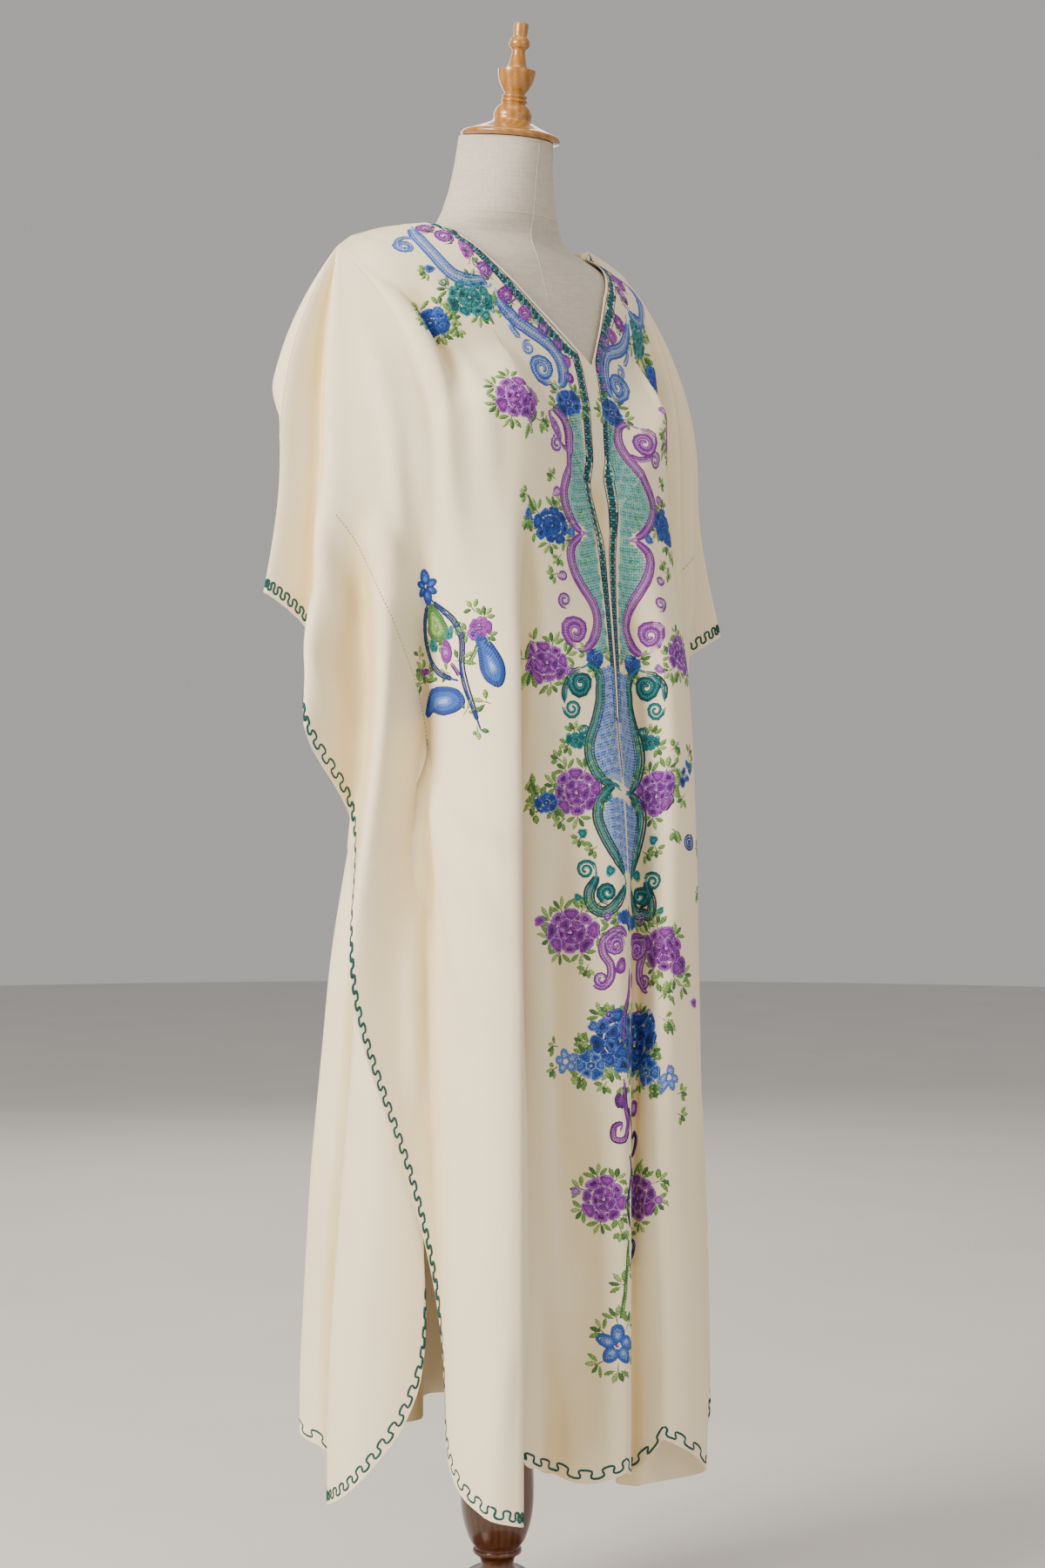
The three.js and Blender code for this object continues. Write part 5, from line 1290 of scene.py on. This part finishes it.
def turned(name, profile, steps, sharp=()):
    """Spins a profile of (radius, height) round the axis, with soft curves between its turning marks."""
    P = np.array(profile, float)
    soft = [P[0]]
    for i in range(len(P) - 1):
        a, b, c, d = P[max(i - 1, 0)], P[i], P[i + 1], P[min(i + 2, len(P) - 1)]
        reach = np.linalg.norm(c - b)
        before = (c - a) / max(np.linalg.norm(c - a), 1e-6) * reach
        after = (d - b) / max(np.linalg.norm(d - b), 1e-6) * reach
        if i in sharp:
            before = c - b
        if i + 1 in sharp:
            after = c - b
        count = 4 if reach < 30 else 10
        for w in np.arange(1, count + 1) / count:
            soft.append((2 * w ** 3 - 3 * w ** 2 + 1) * b + (w ** 3 - 2 * w ** 2 + w) * before
                        + (3 * w ** 2 - 2 * w ** 3) * c + (w ** 3 - w ** 2) * after)
    soft = np.array(soft)
    soft[:, 0] = np.maximum(soft[:, 0], 0)
    mesh = bpy.data.meshes.new(name)
    mesh.from_pydata([(r * MM, 0, z * MM) for r, z in soft], [(k, k + 1) for k in range(len(soft) - 1)], [])
    piece = bpy.data.objects.new(name, mesh)
    bpy.context.collection.objects.link(piece)
    only(piece)
    bpy.ops.object.mode_set(mode='EDIT')
    bpy.ops.mesh.select_all(action='SELECT')
    bpy.ops.mesh.spin(steps=steps, angle=2 * pi, center=(0, 0, 0), axis=(0, 0, 1))
    bpy.ops.mesh.select_all(action='SELECT')
    bpy.ops.mesh.remove_doubles(threshold=0.00002)
    bpy.ops.mesh.normals_make_consistent(inside=False)
    bpy.ops.object.mode_set(mode='OBJECT')
    bpy.ops.object.shade_smooth_by_angle(angle=radians(38))
    return piece


def lacquered(name, pale, dark, gloss):
    """Turned wood under gloss lacquer: fine grain along the length, thin darker year rings."""
    wood, tree, main = finish_named(name, Roughness=gloss, IOR=1.5, Coat_Weight=0.6, Coat_Roughness=0.08)
    place = add(tree, "ShaderNodeTexCoord")
    # grain streaks 1.4 mm wide and about 40 mm long
    grain = add(tree, "ShaderNodeMapping", [(place.outputs["Object"], "Vector")], Scale=(700, 700, 24))
    streaks = add(tree, "ShaderNodeTexNoise", [(grain.outputs[0], "Vector")], Scale=1.0, Detail=4.0,
                  Roughness=0.6)
    year = add(tree, "ShaderNodeMapping", [(place.outputs["Object"], "Vector")], Location=(0.031, 0.017, 0),
               Scale=(1, 1, 0.08))
    rings = add(tree, "ShaderNodeTexWave", [(year.outputs[0], "Vector")], wave_type='RINGS',
                rings_direction='Z', Scale=42.0, Distortion=3.0, Detail=2.0)
    mixed = add(tree, "ShaderNodeMath", [(streaks.outputs["Fac"], 0), (rings.outputs["Fac"], 1)],
                operation='MULTIPLY_ADD')
    tree.links.new(streaks.outputs["Fac"], mixed.inputs[2])
    share = add(tree, "ShaderNodeMath", [(mixed.outputs[0], 0)], operation='MULTIPLY', _1=0.62)
    tone = add(tree, "ShaderNodeMix", [(share.outputs[0], "Factor")], data_type='RGBA')
    tone.inputs[6].default_value = linear(dark)
    tone.inputs[7].default_value = linear(pale)
    bump = add(tree, "ShaderNodeBump", [(streaks.outputs["Fac"], "Height")], Strength=0.12, Distance=0.0003)
    tree.links.new(tone.outputs[2], main.inputs["Base Color"])
    tree.links.new(bump.outputs[0], main.inputs["Normal"])
    return wood


finial = turned("turned_finial", CAP, 72, sharp=(21, 22))
finial.data.transform(Matrix.Translation((0, NECK_AHEAD * MM, 1.5993)) @ Matrix.Rotation(NECK_TILT, 4, 'X'))
finial.data.materials.append(lacquered("honey beech, gloss lacquer", "#C28A38", "#7E4813", 0.3))
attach(finial, "root")
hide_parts("neck_finial")

# ------------------------------------------------------------------ the turned pole and base
# The same lathe work stained dark: a pole with a long bulb over a ringed collar, on a dished round base.
POLE = [(0, 96.3), (19, 96.3), (17.6, 101), (18.4, 108), (21.5, 112.5), (25.6, 115), (25.6, 118.6),
        (24, 120.6), (29, 128), (34.4, 143), (37.6, 158), (39, 178), (38.2, 205), (34.6, 245), (29.8, 300),
        (25.6, 370), (23, 450), (22, 560), (22, 794.7), (0, 794.7)]
BASE = [(0, 0), (156, 0), (160, 4), (160, 22), (156, 27), (140, 30), (112, 34), (84, 43), (62, 56),
        (46, 70), (36, 80), (31, 84), (34, 87), (34, 92), (28, 96), (0, 96)]
dark_wood = lacquered("dark stained beech, gloss lacquer", "#6E3C1A", "#2C1408", 0.3)
for name, profile, node, steps, sharp in (("turned_pole", POLE, "pole", 72, (0, 1, 18, 19)),
                                          ("turned_base", BASE, "base", 96, (0, 1, 14, 15))):
    piece = turned(name, profile, steps, sharp)
    piece.data.materials.append(dark_wood)
    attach(piece, "root")
    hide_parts(node)

# ------------------------------------------------------------------ floor and light
# A plain pale floor that the base rests on, under soft studio light: a large key from the wearer's
# right, a weak fill in front, and lights behind and above.
bpy.ops.object.select_all(action='DESELECT')
bpy.ops.mesh.primitive_circle_add(vertices=96, radius=9, fill_type='NGON', location=(0, 0, -0.0005))
floor = bpy.context.object
floor.name = "floor"
pale, tree, main = finish_named("pale matt floor", Roughness=0.9)
place = add(tree, "ShaderNodeTexCoord")
mottle = add(tree, "ShaderNodeTexNoise", [(place.outputs["Object"], "Vector")], Scale=3.0, Detail=3.0)
grey = add(tree, "ShaderNodeMix", [(mottle.outputs["Fac"], "Factor")], data_type='RGBA')
grey.inputs[6].default_value = linear("#CDCBC9")
grey.inputs[7].default_value = linear("#D8D6D3")
tree.links.new(grey.outputs[2], main.inputs["Base Color"])
floor.data.materials.append(pale)
world = bpy.data.worlds.new("studio")
bpy.context.scene.world = world
world.use_nodes = True
world.node_tree.nodes["Background"].inputs[0].default_value = linear("#CFCDCA")
world.node_tree.nodes["Background"].inputs[1].default_value = 0.7
for name, azimuth, height, away, size, power in (("key", -92, 2.4, 3.2, 1.5, 245),
                                                 ("fill", 0, 1.9, 3.8, 2.4, 34),
                                                 ("back", 150, 2.6, 3.6, 2.4, 60),
                                                 ("top", -40, 4.2, 0.9, 2.2, 45)):
    lamp = bpy.data.objects.new(name, bpy.data.lights.new(name, 'AREA'))
    bpy.context.collection.objects.link(lamp)
    lamp.data.size = size
    lamp.data.energy = power
    lamp.data.color = linear("#FFF4E4")[:3]
    a = radians(azimuth)
    lamp.location = (sin(a) * away, -cos(a) * away, height)
    aim = Vector((0, 0, 1.0)) - lamp.location
    lamp.rotation_euler = aim.to_track_quat('-Z', 'Y').to_euler()
